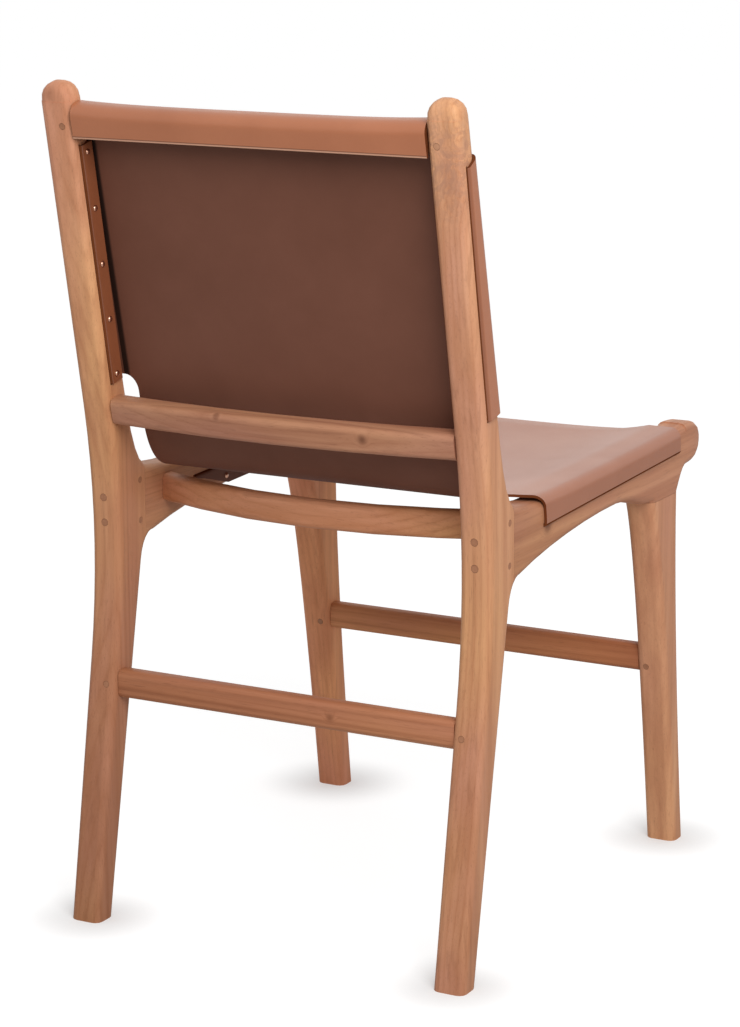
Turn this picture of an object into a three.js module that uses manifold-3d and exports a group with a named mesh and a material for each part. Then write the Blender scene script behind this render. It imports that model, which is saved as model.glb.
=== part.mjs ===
// A dining chair: a solid wood frame with a one-piece leather sling for back and seat.
// Millimetres, +Z up. The front of the chair faces -Y and the sitter's left is +X.
// The origin is on the floor under the middle of the chair.

import * as THREE from 'three';
import { mergeVertices } from 'three/addons/utils/BufferGeometryUtils.js';
import Module from 'manifold-3d';

const wasm = await Module();
wasm.setup();

// Frame as a whole
const height = 857.5;
const halfWidth = 226;
const seatHeight = 455;
const noseFront = 336;
const kneeBack = 176;
const boardThickness = 34;
const edgeRadius = 8;
const jointGap = 0.3;
const cutOverrun = 12;

// Rear leg and back post, seen from the side
const rearSplay = 66.3;
const rearFootDepth = 29.7;
const kneeDrop = 56;
const kneeBendHeight = 260;
const postRake = 88.2;
const postTopThickness = 27;
const postLowThickness = 38;
const postLowRise = 45;
const domeHeight = 18;
const domePower = 2.3;
const domeFlatShare = 0.2;

// Haunch where the side rail flows into the rear leg
const rearSeamInset = 38;
const haunchLength = 21;
const haunchDrop = 66;
const haunchEndDrop = 92;
const shoulderFilletHeight = 66;
const shoulderFilletReach = 24;

// Side rail: rises above and drops below the seat height along its length
const railRiseAtPost = 4;
const railDip = 1;
const railDipSetback = 58;
const railForeShare = 0.56;
const railForeRise = 3.8;
const railEndInset = 8;
const railEndRise = 9;
const railDepth = 41.5;
const railDepthBack = 51.5;

// Nose of the side rail, in front of the front leg
const noseOverhang = 70;
const noseLength = 44;
const noseRise = 13;
const noseHeight = 46.5;
const nosePower = 2.2;
const noseFlatShare = 0.3;
const noseRoundShare = 0.97;
const throatReach = 11;
const throatShare = 0.68;

// Front leg, seen from the side
const frontSeamDrop = 57.5;
const frontLegTopDepth = 70;
const frontRake = 33.3;
const frontFootDepth = 27;
const frontPullShare = 0.656;
const backPullShare = 0.858;
const legBackBulge = 28;
const coveReach = 26;
const coveShare = 0.4;
const underShare = 1 / 3;

// Tenons
const tenonThickness = 12;
const tenonRadius = 2;
const railTenonLength = 34;
const railTenonShoulder = 8;
const legTenonHeight = 28;
const legTenonInset = 16;
const crossTenonLength = 21;

// Cross rails between the two sides: depth runs front to back
const crestDepth = 22;
const crestHeight = 30;
const crestDrop = 37;
const crestRadius = 9;
const crestDish = 3;
const crestTenonHeight = 18;
const lumbarDepth = 22;
const lumbarHeight = 27;
const lumbarRise = 72;
const lumbarInset = 3;
const lumbarBow = 17;
const lumbarRadius = 6;
const seatRailDepth = 22;
const seatRailRadius = 6.5;
const rearRailSetback = 33;
const rearRailBow = 42;
const rearRailDrop = 10;
const rearRailHeight = 28.5;
const frontRailLead = 20;
const frontRailDrop = 3;
const frontRailHeight = 27;
const frontRailRise = 5.5;
const hollowPower = 4;
const stretcherDepth = 20;
const stretcherHeight = 29.5;
const stretcherRadius = 6.5;
const stretcherInset = 6;
const rearStretcherMiddle = 243.4;
const frontStretcherMiddle = 212.2;

// Wooden pins and plugs
const pinRadius = 3.2;
const plugRadius = 3.8;
const pinGap = 0.3;
const pinDepth = 21;
const crossPinSetback = 9;
const crossPinInset = 4;
const plugDepth = 12;
const plugDrop = 16;
const plugSpacing = 26;
const frontPinDrop = 7;
const crestPinDrop = 6.5;

// Leather
const leather = 2.8;
const leatherGap = 0.4;
const panelInset = 14;
const crestLeatherGap = 0.5;
const backBow = 8;
const seatSag = 9;
const postWingGap = 0.5;
const postWingSlant = 6;
const postWingRise = 33;
const notchCorner = 16;
const backCurveDrop = 13;
const seatCurveSetback = 33;
const seatCurveRise = 4.5;
const postSlotOuter = 10;
const postSlotInner = 10;
const postTail = 16.5;
const seatWingSetbackLeft = 94;
const seatWingSetbackRight = 67;
const seatWingInset = 4;
const seatWingLift = 3.5;
const seatWingCorner = 6;
const seatWingFlare = 17;
const seatEdgeShare = 0.125;
const seatKerfDropBack = 25.5;
const seatKerfDropFront = 23;
const seatTail = 20;
const seatTailSlant = 70;
const frontTail = 14;
const kerfEndGap = 1.5;

// Brass dome tacks
const tackHeadRadius = 3.2;
const tackHeadHeight = 1.8;
const tackShankRadius = 0.9;
const tackShankLength = 8;
const tackHoleGap = 0.35;
const tackSeatGap = 0.3;
const postTacks = 5;
const postTackEnd = 8;
const seatTacks = 5;
const firstSeatTackSetback = 154;
const seatTackEnd = 17;
const frontTacks = 5;
const frontTackEnd = 22;

// Columns of the leather between its side edges
const columnShares = [-1, -0.75, -0.4, 0, 0.4, 0.75, 1];

// Facets
const cornerSteps = 3;
const bendSteps = 9;
const backSteps = 4;
const seatSteps = 6;
const roundSides = 10;
const tackSides = 8;
const holeSides = 6;

const lerp = THREE.MathUtils.lerp;

// Heights and places that follow from those sizes
const innerFace = halfWidth - boardThickness;
const boardMiddle = halfWidth - boardThickness / 2;
const rearFootBack = kneeBack + rearSplay;
const rearFootFront = rearFootBack - rearFootDepth;
const kneeHeight = seatHeight - kneeDrop;
const postTopBack = kneeBack + postRake;
const postTopFront = postTopBack - postTopThickness;
const postLowHeight = seatHeight + postLowRise;
const postLowBack = straight(postLowHeight, kneeHeight, kneeBack, height, postTopBack);
const postLowFront = postLowBack - postLowThickness;
const postLean = Math.atan((postTopFront - postLowFront) / (height - postLowHeight));
const backLean = Math.atan(postRake / (height - kneeHeight));
const postTopDepth = slotDepth(height, 0);
const domeFoot = height - domeHeight * Math.cos(postLean) + postTopDepth / 2 * Math.sin(postLean);

const rearSeam = kneeBack - rearSeamInset;
const haunchStart = rearSeam - haunchLength;
const haunchHeight = seatHeight - haunchDrop;
const haunchEndHeight = seatHeight - haunchEndDrop;
const railTopAtPost = seatHeight + railRiseAtPost;
const railUnderMiddle = seatHeight - railDepth;
const noseBack = noseFront - noseLength;
const noseTop = seatHeight + noseRise;
const noseUnder = noseTop - noseHeight;
const noseMiddle = (noseTop + noseUnder) / 2;
const frontSeamHeight = seatHeight - frontSeamDrop;
const frontLegTopFront = noseFront - noseOverhang;
const frontLegTopBack = frontLegTopFront - frontLegTopDepth;
const frontFootFront = frontLegTopFront + frontRake;
const frontFootBack = frontFootFront - frontFootDepth;
const railUnderFront = railForeShare * frontLegTopBack;

const railTenonLow = haunchHeight + railTenonShoulder;
const railTenonHigh = railTopAtPost - railTenonShoulder;
const legTenonFront = frontLegTopFront - legTenonInset;
const legTenonBack = frontLegTopBack + legTenonInset;

const crestMiddle = height - crestDrop;
const lumbarMiddle = seatHeight + lumbarRise;
const rearRailTop = seatHeight - rearRailDrop;
const frontRailFront = frontLegTopFront + frontRailLead;
const frontRailBack = seatRailDepth - frontRailFront;
const frontRailTop = seatHeight - frontRailDrop;

const leatherOffset = leatherGap + leather / 2;
const panelHalfWidth = innerFace - panelInset;
const crestLeatherHalf = innerFace - crestLeatherGap;
const postWingTop = crestMiddle - crestHeight / 2 - postWingGap;
const postSlotTop = postWingTop - postWingSlant;
const postWingBottom = lumbarMiddle + postWingRise;
const backCurveHeight = lumbarMiddle - backCurveDrop;
const seatCurveBack = rearSeam - seatCurveSetback;
const seatCurveHeight = seatHeight + seatCurveRise;
const seatWingBackLeft = rearSeam - seatWingSetbackLeft;
const seatWingBackRight = rearSeam - seatWingSetbackRight;
const seatWingFront = frontLegTopFront - seatWingInset;
const seatKerfBack = seatHeight - seatKerfDropBack;
const seatKerfFront = seatHeight + railEndRise - seatKerfDropFront;
const tailSlantShare = seatTailSlant / (seatWingBackRight + seatWingFront);
const tabTop = frontRailTop + leatherOffset;

const teak = (shade) => new THREE.MeshStandardMaterial({ color: shade, roughness: 0.55, metalness: 0 });
const teakShades = { leg: 0xc08a68, rail: 0xb98261, stretcher: 0xb27a58, pin: 0x8a5a3e };
const tanLeather = new THREE.MeshStandardMaterial({ color: 0x9c6244, roughness: 0.5, metalness: 0 });
const brass = () => new THREE.MeshStandardMaterial({ color: 0xb98d58, roughness: 0.3, metalness: 1 });

const chair = new THREE.Group();

// Profiles, each as Y for a height

function straight(z, zLow, yLow, zHigh, yHigh) {
  return lerp(yLow, yHigh, (z - zLow) / (zHigh - zLow));
}

// The back edge of the rear leg: two straight runs joined by a parabola at the knee.
function legBack(z) {
  const low = kneeHeight - kneeBendHeight / 2;
  const high = kneeHeight + kneeBendHeight / 2;
  const below = (h) => straight(h, 0, rearFootBack, kneeHeight, kneeBack);
  const above = (h) => straight(h, kneeHeight, kneeBack, height, postTopBack);
  if (z <= low) return below(z);
  if (z >= high) return above(z);
  const t = (z - low) / kneeBendHeight;
  return (1 - t) * (1 - t) * below(low) + 2 * t * (1 - t) * kneeBack + t * t * above(high);
}

// The front edge of the back post is one straight line.
function postFront(z) {
  return straight(z, postLowHeight, postLowFront, height, postTopFront);
}

// The front edge of the rear leg under the haunch is straight too.
function legFront(z) {
  return straight(z, 0, rearFootFront, haunchEndHeight, haunchEndY());
}

function haunchEndY() {
  const taper = (rearFootFront - rearSeam) / haunchHeight;
  return rearFootFront - taper * haunchEndHeight;
}

// A smooth curve through a few heights along the rail, given as [y, z] from back to front.
function heightThrough(points) {
  const slope = (i) => {
    const a = points[Math.max(i - 1, 0)];
    const b = points[Math.min(i + 1, points.length - 1)];
    return (b[1] - a[1]) / (b[0] - a[0]);
  };
  return (y) => {
    let i = 0;
    while (i < points.length - 2 && y < points[i + 1][0]) i += 1;
    const [ya, za] = points[i];
    const [yb, zb] = points[i + 1];
    const span = yb - ya;
    const t = THREE.MathUtils.clamp((y - ya) / span, 0, 1);
    const bulge = (1 - t) * (1 - t) * t * span * slope(i) - (1 - t) * t * t * span * slope(i + 1);
    return za + (zb - za) * t * t * (3 - 2 * t) + bulge;
  };
}

const railTop = heightThrough([
  [postFront(railTopAtPost) - shoulderFilletReach, railTopAtPost],
  [rearSeam - railDipSetback, seatHeight - railDip],
  [0, seatHeight],
  [-railForeShare * frontLegTopBack, seatHeight + railForeRise],
  [-frontLegTopFront + railEndInset, seatHeight + railEndRise],
  [-noseBack, noseTop],
]);

// The curved edges of the front leg, from the foot up
const frontLegFrontEdge = new THREE.QuadraticBezierCurve(v2(-frontFootFront, 0),
  v2(-frontLegTopFront, frontSeamHeight * frontPullShare), v2(-frontLegTopFront, frontSeamHeight));
const frontLegBackEdge = new THREE.QuadraticBezierCurve(v2(-frontFootBack, 0),
  v2(-frontLegTopBack - legBackBulge, frontSeamHeight * backPullShare),
  v2(-frontLegTopBack, frontSeamHeight));

function placeAtHeight(curve, z) {
  const points = curve.getPoints(bendSteps * bendSteps);
  const above = points.findIndex((p) => p.y >= z);
  const [low, high] = [points[above - 1], points[above]];
  return straight(z, low.y, low.x, high.y, high.x);
}

// Geometry helpers

function pointsOf(curve, steps) {
  return curve.getPoints(steps);
}

function v2(y, z) {
  return new THREE.Vector2(y, z);
}

function parabola(a, b, c, steps) {
  return pointsOf(new THREE.QuadraticBezierCurve(a, b, c), steps);
}

function cubic(a, b, c, d, steps) {
  return pointsOf(new THREE.CubicBezierCurve(a, b, c, d), steps);
}

function withoutRepeats(points) {
  const previous = (i) => points[(i + points.length - 1) % points.length];
  return points.filter((p, i) => p.distanceTo(previous(i)) > jointGap);
}

function bare(geometry) {
  geometry.deleteAttribute('normal');
  geometry.deleteAttribute('uv');
  return mergeVertices(geometry, jointGap / 1000);
}

function solid(geometry) {
  const merged = bare(geometry);
  return new wasm.Manifold(new wasm.Mesh({
    numProp: 3,
    vertProperties: new Float32Array(merged.attributes.position.array),
    triVerts: new Uint32Array(merged.index.array),
  }));
}

function geometryOf(shape) {
  const mesh = shape.getMesh();
  const geometry = new THREE.BufferGeometry();
  geometry.setAttribute('position', new THREE.BufferAttribute(new Float32Array(mesh.vertProperties), 3));
  geometry.setIndex(new THREE.BufferAttribute(new Uint32Array(mesh.triVerts), 1));
  geometry.computeVertexNormals();
  return geometry;
}

function add(name, shape, material) {
  const mesh = new THREE.Mesh(geometryOf(shape), material);
  mesh.name = name;
  chair.add(mesh);
}

function box(x0, x1, y0, y1, z0, z1) {
  const geometry = new THREE.BoxGeometry(Math.abs(x1 - x0), Math.abs(y1 - y0), Math.abs(z1 - z0));
  geometry.translate((x0 + x1) / 2, (y0 + y1) / 2, (z0 + z1) / 2);
  return solid(geometry);
}

// A closed body through rings of equal point counts, with flat ends.
function loft(rings) {
  const count = rings[0].length;
  const positions = rings.flat().flatMap((p) => [p.x, p.y, p.z]);
  const index = [];
  for (let r = 0; r + 1 < rings.length; r += 1) {
    for (let i = 0; i < count; i += 1) {
      const a = r * count + i;
      const b = r * count + ((i + 1) % count);
      index.push(a, b, a + count, b, b + count, a + count);
    }
  }
  const last = (rings.length - 1) * count;
  for (let i = 1; i + 1 < count; i += 1) {
    index.push(0, i + 1, i);
    index.push(last, last + i, last + i + 1);
  }
  const geometry = new THREE.BufferGeometry();
  geometry.setAttribute('position', new THREE.Float32BufferAttribute(positions, 3));
  geometry.setIndex(index);
  const body = solid(geometry);
  if (body.volume() > 0) return body;
  const flipped = index.map((v, i) => index[i - (i % 3) + [0, 2, 1][i % 3]]);
  geometry.setIndex(flipped);
  return solid(geometry);
}

// A rectangle with rounded corners, centred, as [across, up] pairs.
function roundedRectangle(across, up, radius) {
  const corners = [[1, 1], [-1, 1], [-1, -1], [1, -1]];
  return corners.flatMap(([sx, sz], quarter) => {
    const start = quarter * Math.PI / 2;
    const centre = [sx * (across / 2 - radius), sz * (up / 2 - radius)];
    return arc(...centre, radius, start, start + Math.PI / 2, cornerSteps);
  });
}

// A round rod from one point to another.
function rod(from, to, radius, sides) {
  const axis = new THREE.Vector3().subVectors(to, from);
  const geometry = new THREE.CylinderGeometry(radius, radius, axis.length(), sides);
  const upright = new THREE.Vector3(0, 1, 0);
  geometry.applyQuaternion(new THREE.Quaternion().setFromUnitVectors(upright, axis.clone().normalize()));
  geometry.translate((from.x + to.x) / 2, (from.y + to.y) / 2, (from.z + to.z) / 2);
  return solid(geometry);
}

// Side frame: rear leg, side rail and front leg are shaped together, flush across their joints

function sideOutline() {
  const low = kneeHeight - kneeBendHeight / 2;
  const high = kneeHeight + kneeBendHeight / 2;
  const bend = Array.from({ length: bendSteps + 1 }, (_, i) => lerp(low, high, i / bendSteps))
    .map((z) => v2(legBack(z), z));

  const above = (y, slope) => v2(y + slope * cutOverrun, height + cutOverrun);
  const top = [
    above(legBack(height), Math.tan(backLean)),
    above(postFront(height), Math.tan(postLean)),
  ];

  const filletTop = railTopAtPost + shoulderFilletHeight;
  const filletFront = postFront(railTopAtPost) - shoulderFilletReach;
  const fillet = parabola(v2(postFront(filletTop), filletTop), v2(postFront(railTopAtPost), railTopAtPost),
    v2(filletFront, railTopAtPost), cornerSteps + 2);

  const topRun = Array.from({ length: 2 * bendSteps }, (_, i) => {
    const y = lerp(filletFront, -noseBack, (i + 1) / (2 * bendSteps));
    return v2(y, railTop(y));
  });

  const noseCut = [v2(-noseBack - cutOverrun, noseTop), v2(-noseBack - cutOverrun, noseUnder)];
  const throat = cubic(v2(-noseBack, noseUnder), v2(-noseBack + throatReach, noseUnder),
    v2(-frontLegTopFront - throatReach, lerp(frontSeamHeight, noseUnder, throatShare)),
    v2(-frontLegTopFront, frontSeamHeight), cornerSteps + 2);
  const frontEdge = pointsOf(frontLegFrontEdge, bendSteps).reverse();
  const backEdge = pointsOf(frontLegBackEdge, bendSteps);
  const cove = cubic(v2(-frontLegTopBack, frontSeamHeight), v2(-frontLegTopBack + coveReach, frontSeamHeight),
    v2(-lerp(railUnderFront, frontLegTopBack, coveShare), railUnderMiddle),
    v2(-railUnderFront, railUnderMiddle), cornerSteps + 2);
  const under = cubic(v2(-railUnderFront, railUnderMiddle), v2(-railUnderFront * underShare, railUnderMiddle),
    v2(haunchStart / 2, seatHeight - railDepthBack), v2(haunchStart, haunchHeight), cornerSteps + 3);
  const haunch = parabola(v2(haunchStart, haunchHeight), v2(legFront(haunchHeight), haunchHeight),
    v2(haunchEndY(), haunchEndHeight), cornerSteps + 3);

  const footDrop = (yTop, zTop, yFoot) => yFoot + (yFoot - yTop) / zTop * cutOverrun;
  return withoutRepeats([
    v2(footDrop(legBack(low), low, rearFootBack), -cutOverrun),
    ...bend, ...top, ...fillet, ...topRun, ...noseCut, ...throat, ...frontEdge,
    v2(-frontFootFront, -cutOverrun), v2(-frontFootBack, -cutOverrun),
    ...backEdge, ...cove, ...under, ...haunch,
    v2(footDrop(haunchEndY(), haunchEndHeight, rearFootFront), -cutOverrun),
  ]);
}

// The whole side as one board with rounded edges, standing on the +X side.
function sideBoard() {
  const geometry = new THREE.ExtrudeGeometry(new THREE.Shape(sideOutline()), {
    depth: boardThickness - 2 * edgeRadius,
    bevelEnabled: true,
    bevelThickness: edgeRadius,
    bevelSize: edgeRadius,
    bevelOffset: -edgeRadius,
    bevelSegments: cornerSteps,
  });
  geometry.translate(0, 0, innerFace + edgeRadius);
  geometry.applyMatrix4(new THREE.Matrix4().makeBasis(
    new THREE.Vector3(0, 1, 0), new THREE.Vector3(0, 0, 1), new THREE.Vector3(1, 0, 0)));
  const foot = besidePost(0, 0, domeFoot);
  const up = new THREE.Vector3(0, Math.sin(postLean), Math.cos(postLean));
  const board = solid(geometry)
    .trimByPlane([0, -up.y, -up.z], -foot.dot(up))
    .subtract(box(0, past, -past, -noseBack, frontSeamHeight, height));
  return board.add(dome(up)).add(nose());
}

// The rounded end of the post: rounded rectangles that shrink as a superellipse towards the top.
function dome(up) {
  const steps = cornerSteps + 2;
  const turn = (i) => Math.max(i, 0) / steps * Math.PI / 2;
  const rise = (i) => (i < 0 ? -edgeRadius : domeHeight * Math.sin(turn(i)) ** (2 / domePower));
  return loft(Array.from({ length: steps + 2 }, (_, k) => {
    const size = Math.max(Math.cos(turn(k - 1)) ** (2 / domePower), domeFlatShare);
    const section = roundedRectangle(boardThickness * size, postTopDepth * size, edgeRadius * size);
    return section.map(([x, b]) => besidePost(boardMiddle + x, postTopDepth / 2 + b, domeFoot)
      .addScaledVector(up, rise(k - 1)));
  }));
}

// The nose is rounded the same way, forwards.
function nose() {
  const steps = cornerSteps + 3;
  const turn = (i) => Math.max(i, 0) / steps * Math.PI / 2;
  const ahead = (i) => (i < 0 ? -edgeRadius : noseLength * Math.sin(turn(i)) ** (2 / nosePower));
  return loft(Array.from({ length: steps + 2 }, (_, k) => {
    const size = Math.max(Math.cos(turn(k - 1)) ** (2 / nosePower), noseFlatShare);
    const width = boardThickness * Math.sqrt(size);
    const tall = noseHeight * size;
    const radius = Math.min(lerp(width / 2, edgeRadius, size), width / 2, tall / 2) * noseRoundShare;
    return roundedRectangle(width, tall, radius)
      .map(([x, u]) => new THREE.Vector3(boardMiddle + x, -noseBack - ahead(k - 1), noseMiddle + u));
  }));
}

function mirrored(shape) {
  return shape.mirror([1, 0, 0]);
}

const half = jointGap / 2;
const past = noseFront + cutOverrun;

function tenonBox(grow, y0, y1, z0, z1) {
  const side = tenonThickness / 2 + grow;
  return box(boardMiddle - side, boardMiddle + side, y0 - grow, y1 + grow, z0 - grow, z1 + grow);
}

// Cross rails: each is a run of rounded rectangles between the inner faces

// Points [d, u] of a section are turned back by the lean and moved to y, z.
function sectionRing(section, x, y, z, lean) {
  return section.map(([d, u]) => new THREE.Vector3(
    x, y + d * Math.cos(lean) + u * Math.sin(lean), z - d * Math.sin(lean) + u * Math.cos(lean)));
}

// How far a bow or a hollow has come at x: all of it in the middle and none at the inner faces.
function bowShare(x) {
  return 1 - (x / innerFace) ** 2;
}

function hollowShare(x) {
  return 1 - (x / innerFace) ** hollowPower;
}

// A rail that is bowed or dished has its rings under the columns of the leather.
function crossRail({ depth, rise, radius, y, z, lean, bow, dish }) {
  const end = innerFace - jointGap;
  const between = bow || dish ? columnShares.map((share) => share * panelHalfWidth) : [];
  const rings = [-end, ...between, end].map((x) => {
    const drop = dish * hollowShare(x);
    const section = roundedRectangle(depth, rise - drop, radius);
    return sectionRing(section, x, y + bow * bowShare(x), z - drop / 2, lean);
  });
  return loft(rings);
}

function crossTenons({ y, z, lean, tall, thick }, grow) {
  const section = roundedRectangle(thick + 2 * grow, tall + 2 * grow, tenonRadius + grow);
  const inside = innerFace - cutOverrun;
  const outside = innerFace + crossTenonLength + grow;
  const left = loft([sectionRing(section, inside, y, z, lean), sectionRing(section, outside, y, z, lean)]);
  return left.add(mirrored(left));
}

const postMiddle = (z) => (legBack(z) + postFront(z)) / 2;

const crest = {
  depth: crestDepth, rise: crestHeight, radius: crestRadius, y: postMiddle(crestMiddle), z: crestMiddle,
  lean: postLean, bow: 0, dish: crestDish, thick: tenonThickness, tall: crestTenonHeight,
};
const lumbar = {
  depth: lumbarDepth, rise: lumbarHeight, radius: lumbarRadius,
  y: legBack(lumbarMiddle) - lumbarInset - lumbarDepth / 2, z: lumbarMiddle,
  lean: postLean, bow: lumbarBow, dish: 0, thick: tenonThickness, tall: lumbarHeight - 2 * lumbarRadius,
};
const rearRail = {
  depth: seatRailDepth, rise: rearRailHeight, radius: seatRailRadius,
  y: rearSeam - rearRailSetback - seatRailDepth / 2, z: rearRailTop - rearRailHeight / 2,
  lean: 0, bow: rearRailBow, dish: 0, thick: tenonThickness,
  tall: rearRailHeight - 2 * tenonRadius - seatRailRadius,
};
const frontRail = {
  depth: seatRailDepth, rise: frontRailHeight + frontRailRise, radius: seatRailRadius,
  y: -frontRailFront + seatRailDepth / 2, z: frontRailTop + (frontRailRise - frontRailHeight) / 2,
  lean: 0, bow: 0, dish: frontRailRise, thick: tenonThickness,
  tall: frontRailHeight - seatRailRadius,
};
const rearStretcher = {
  depth: stretcherDepth, rise: stretcherHeight, radius: stretcherRadius,
  y: legBack(rearStretcherMiddle) - stretcherInset - stretcherDepth / 2, z: rearStretcherMiddle,
  lean: 0, bow: 0, dish: 0, thick: tenonThickness, tall: stretcherHeight - 2 * stretcherRadius,
};
const frontStretcher = {
  depth: stretcherDepth, rise: stretcherHeight, radius: stretcherRadius,
  y: placeAtHeight(frontLegBackEdge, frontStretcherMiddle) - stretcherInset - stretcherDepth / 2,
  z: frontStretcherMiddle,
  lean: 0, bow: 0, dish: 0, thick: tenonThickness, tall: stretcherHeight - 2 * stretcherRadius,
};

// Leather: one sheet, laid out as rows across the chair from the hem behind the crest rail, over it,
// down the back, round into the seat and over the front seat rail.

// A point beside the post: b behind its front face, on the row that starts there at height z.
function besidePost(x, b, z) {
  return new THREE.Vector3(x, postFront(z) + b * Math.cos(postLean), z - b * Math.sin(postLean));
}

// How far behind the front face the slot lies when it is to end up at a setback from the back edge.
function slotDepth(z, setback) {
  const depth = legBack(z) - postFront(z) - setback;
  return depth / (Math.cos(postLean) + Math.tan(backLean) * Math.sin(postLean));
}

function arc(cx, cy, radius, from, to, steps) {
  return Array.from({ length: steps + 1 }, (_, i) => {
    const a = lerp(from, to, i / steps);
    return [cx + radius * Math.cos(a), cy + radius * Math.sin(a)];
  });
}

// Wing stations round a board, as [x, b] pairs with b the depth below the face that it lies on: round
// the edge, down the outer face, in through the slot and out along the inner face.
function wingStations(slotOuter, slotInner, tail) {
  const lip = leatherOffset;
  const side = Math.sign(tail);
  return [
    ...arc(halfWidth - edgeRadius, edgeRadius, edgeRadius + lip, -Math.PI / 2, 0, cornerSteps),
    ...arc(halfWidth, slotOuter - lip, lip, 0, Math.PI / 2, 2),
    ...arc(innerFace, slotInner + side * lip, lip, -side * Math.PI / 2, -side * Math.PI, 2),
    [innerFace - lip, slotInner + tail],
  ];
}

function kerfHeight(y) {
  return straight(y, seatWingBackRight, seatKerfBack, -seatWingFront, seatKerfFront);
}

function seatWingBack(x) {
  return straight(x, -innerFace, seatWingBackRight, innerFace, seatWingBackLeft);
}

// The back edge of the seat wing slants backwards, up its side and across the top of the side rail.
function wingSlant([x, b]) {
  const down = THREE.MathUtils.clamp(b / seatKerfDropFront, 0, 1);
  const across = THREE.MathUtils.clamp((halfWidth - x) / boardThickness, 0, 1);
  return (1 - down) * (seatWingCorner + seatWingFlare * across);
}

// Height of the leather's middle layer on the side rail, lifted a little towards the back.
function wingTop(y) {
  const share = (y + railUnderFront) / (seatWingBackRight + railUnderFront);
  return railTop(y) + leatherOffset + seatWingLift * THREE.MathUtils.clamp(share, 0, 1);
}

// Hollow of the seat between the side rails: it sags most in the middle and meets the dished front rail.
function leatherHeight(x, y) {
  const along = THREE.MathUtils.clamp((seatCurveBack - y) / (seatCurveBack + seatWingFront), 0, 1);
  const edge = lerp(seatCurveHeight, wingTop(y), THREE.MathUtils.clamp(along / seatEdgeShare, 0, 1));
  const frontDrop = (wingTop(-seatWingFront) - tabTop) * along * along;
  return edge - hollowShare(x) * (frontDrop + seatSag * 4 * along * (1 - along));
}

function mainRow(at) {
  return columnShares.map((share) => at(share * panelHalfWidth));
}

function row(at, edge, wing) {
  const main = mainRow(at);
  if (!edge) return { main, left: [], right: [] };
  const sides = [1, -1].map((side) => [at(side * edge), ...wing.map((p) => p(side))]);
  return { main, left: sides[0], right: sides[1] };
}

function crestRows() {
  const d = crest.depth / 2 + leatherOffset;
  const r = crest.radius;
  const corner = (sx, from) => arc(sx * (crest.depth / 2 - r), crest.rise / 2 - r, r + leatherOffset,
    from, from + Math.PI / 2, cornerSteps);
  const path = [[d, -crest.rise / 2], ...corner(1, 0), ...corner(-1, Math.PI / 2), [-d, -crest.rise / 2]];
  return path.map(([depth, up]) => row((x) => {
    const drop = up > 0 ? crest.dish * hollowShare(x) : 0;
    const [p] = sectionRing([[depth, up - drop]], x, crest.y, crest.z, crest.lean);
    return p;
  }, crestLeatherHalf, []));
}

function backPoint(x, z) {
  const t = (postWingTop - z) / (postWingTop - seatCurveHeight);
  const p = besidePost(x, -leatherOffset, z);
  p.y += backBow * bowShare(x) * 4 * t * (1 - t);
  return p;
}

function backRows() {
  return Array.from({ length: backSteps + 1 }, (_, i) => {
    const z = lerp(postWingTop, postWingBottom, i / backSteps);
    const slot = slotDepth(z, postSlotOuter);
    const stations = wingStations(slot, slotDepth(z, postSlotInner), -postTail);
    const fall = postWingSlant * (1 - i / backSteps);
    return row((x) => backPoint(x, z), innerFace, stations.map(([x, b], n) => {
      const away = n < stations.length / 2 ? THREE.MathUtils.clamp(b / slot, 0, 1) : 1;
      return (side) => besidePost(side * x, b, z - fall * away);
    }));
  });
}

function curveRows() {
  const start = (x) => backPoint(x, backCurveHeight);
  const below = postFront(seatCurveHeight) - leatherOffset;
  const rows = [row((x) => backPoint(x, postWingBottom - notchCorner), 0, [])];
  for (let i = 0; i < seatSteps; i += 1) {
    const t = i / seatSteps;
    rows.push(row((x) => {
      const s = start(x);
      const y = (1 - t) * (1 - t) * s.y + 2 * t * (1 - t) * below + t * t * seatCurveBack;
      const z = (1 - t) * (1 - t) * s.z + 2 * t * (1 - t) * seatCurveHeight + t * t * seatCurveHeight;
      return new THREE.Vector3(x, y, z);
    }, 0, []));
  }
  return rows;
}

function seatRows() {
  const middle = wingStations(seatKerfDropFront, seatKerfDropFront, seatTail);
  return Array.from({ length: seatSteps + 1 }, (_, i) => {
    const spot = (x, away) => lerp(seatWingBack(x) + away, -seatWingFront, i / seatSteps);
    const stationAt = (n, side) => {
      const slant = n === middle.length - 1 ? (1 - i / seatSteps) * tailSlantShare : 0;
      const y = lerp(spot(side * innerFace, wingSlant(middle[n])), -seatWingFront, slant);
      const depth = wingTop(y) - leatherOffset - kerfHeight(y);
      const [x, b] = wingStations(depth, depth, seatTail)[n];
      return new THREE.Vector3(side * x, y, wingTop(y) - leatherOffset - b);
    };
    const wing = middle.map((_station, n) => (side) => stationAt(n, side));
    return row((x) => {
      const y = spot(x, seatWingCorner + seatWingFlare);
      return new THREE.Vector3(x, y, leatherHeight(x, y));
    }, innerFace, wing);
  });
}

function tabRows() {
  const r = seatRailRadius;
  const corner = arc(r - frontRailFront, -r, r + leatherOffset, Math.PI / 2, Math.PI, cornerSteps);
  const start = [frontRailBack - r, leatherOffset];
  const end = [-frontRailFront - leatherOffset, -r - frontTail];
  return [start, ...corner, end].map(([y, u]) => row((x) => {
    const rise = frontRailRise * (1 - hollowShare(x));
    return new THREE.Vector3(x, y, frontRailTop + rise + u);
  }, crestLeatherHalf, []));
}

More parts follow.
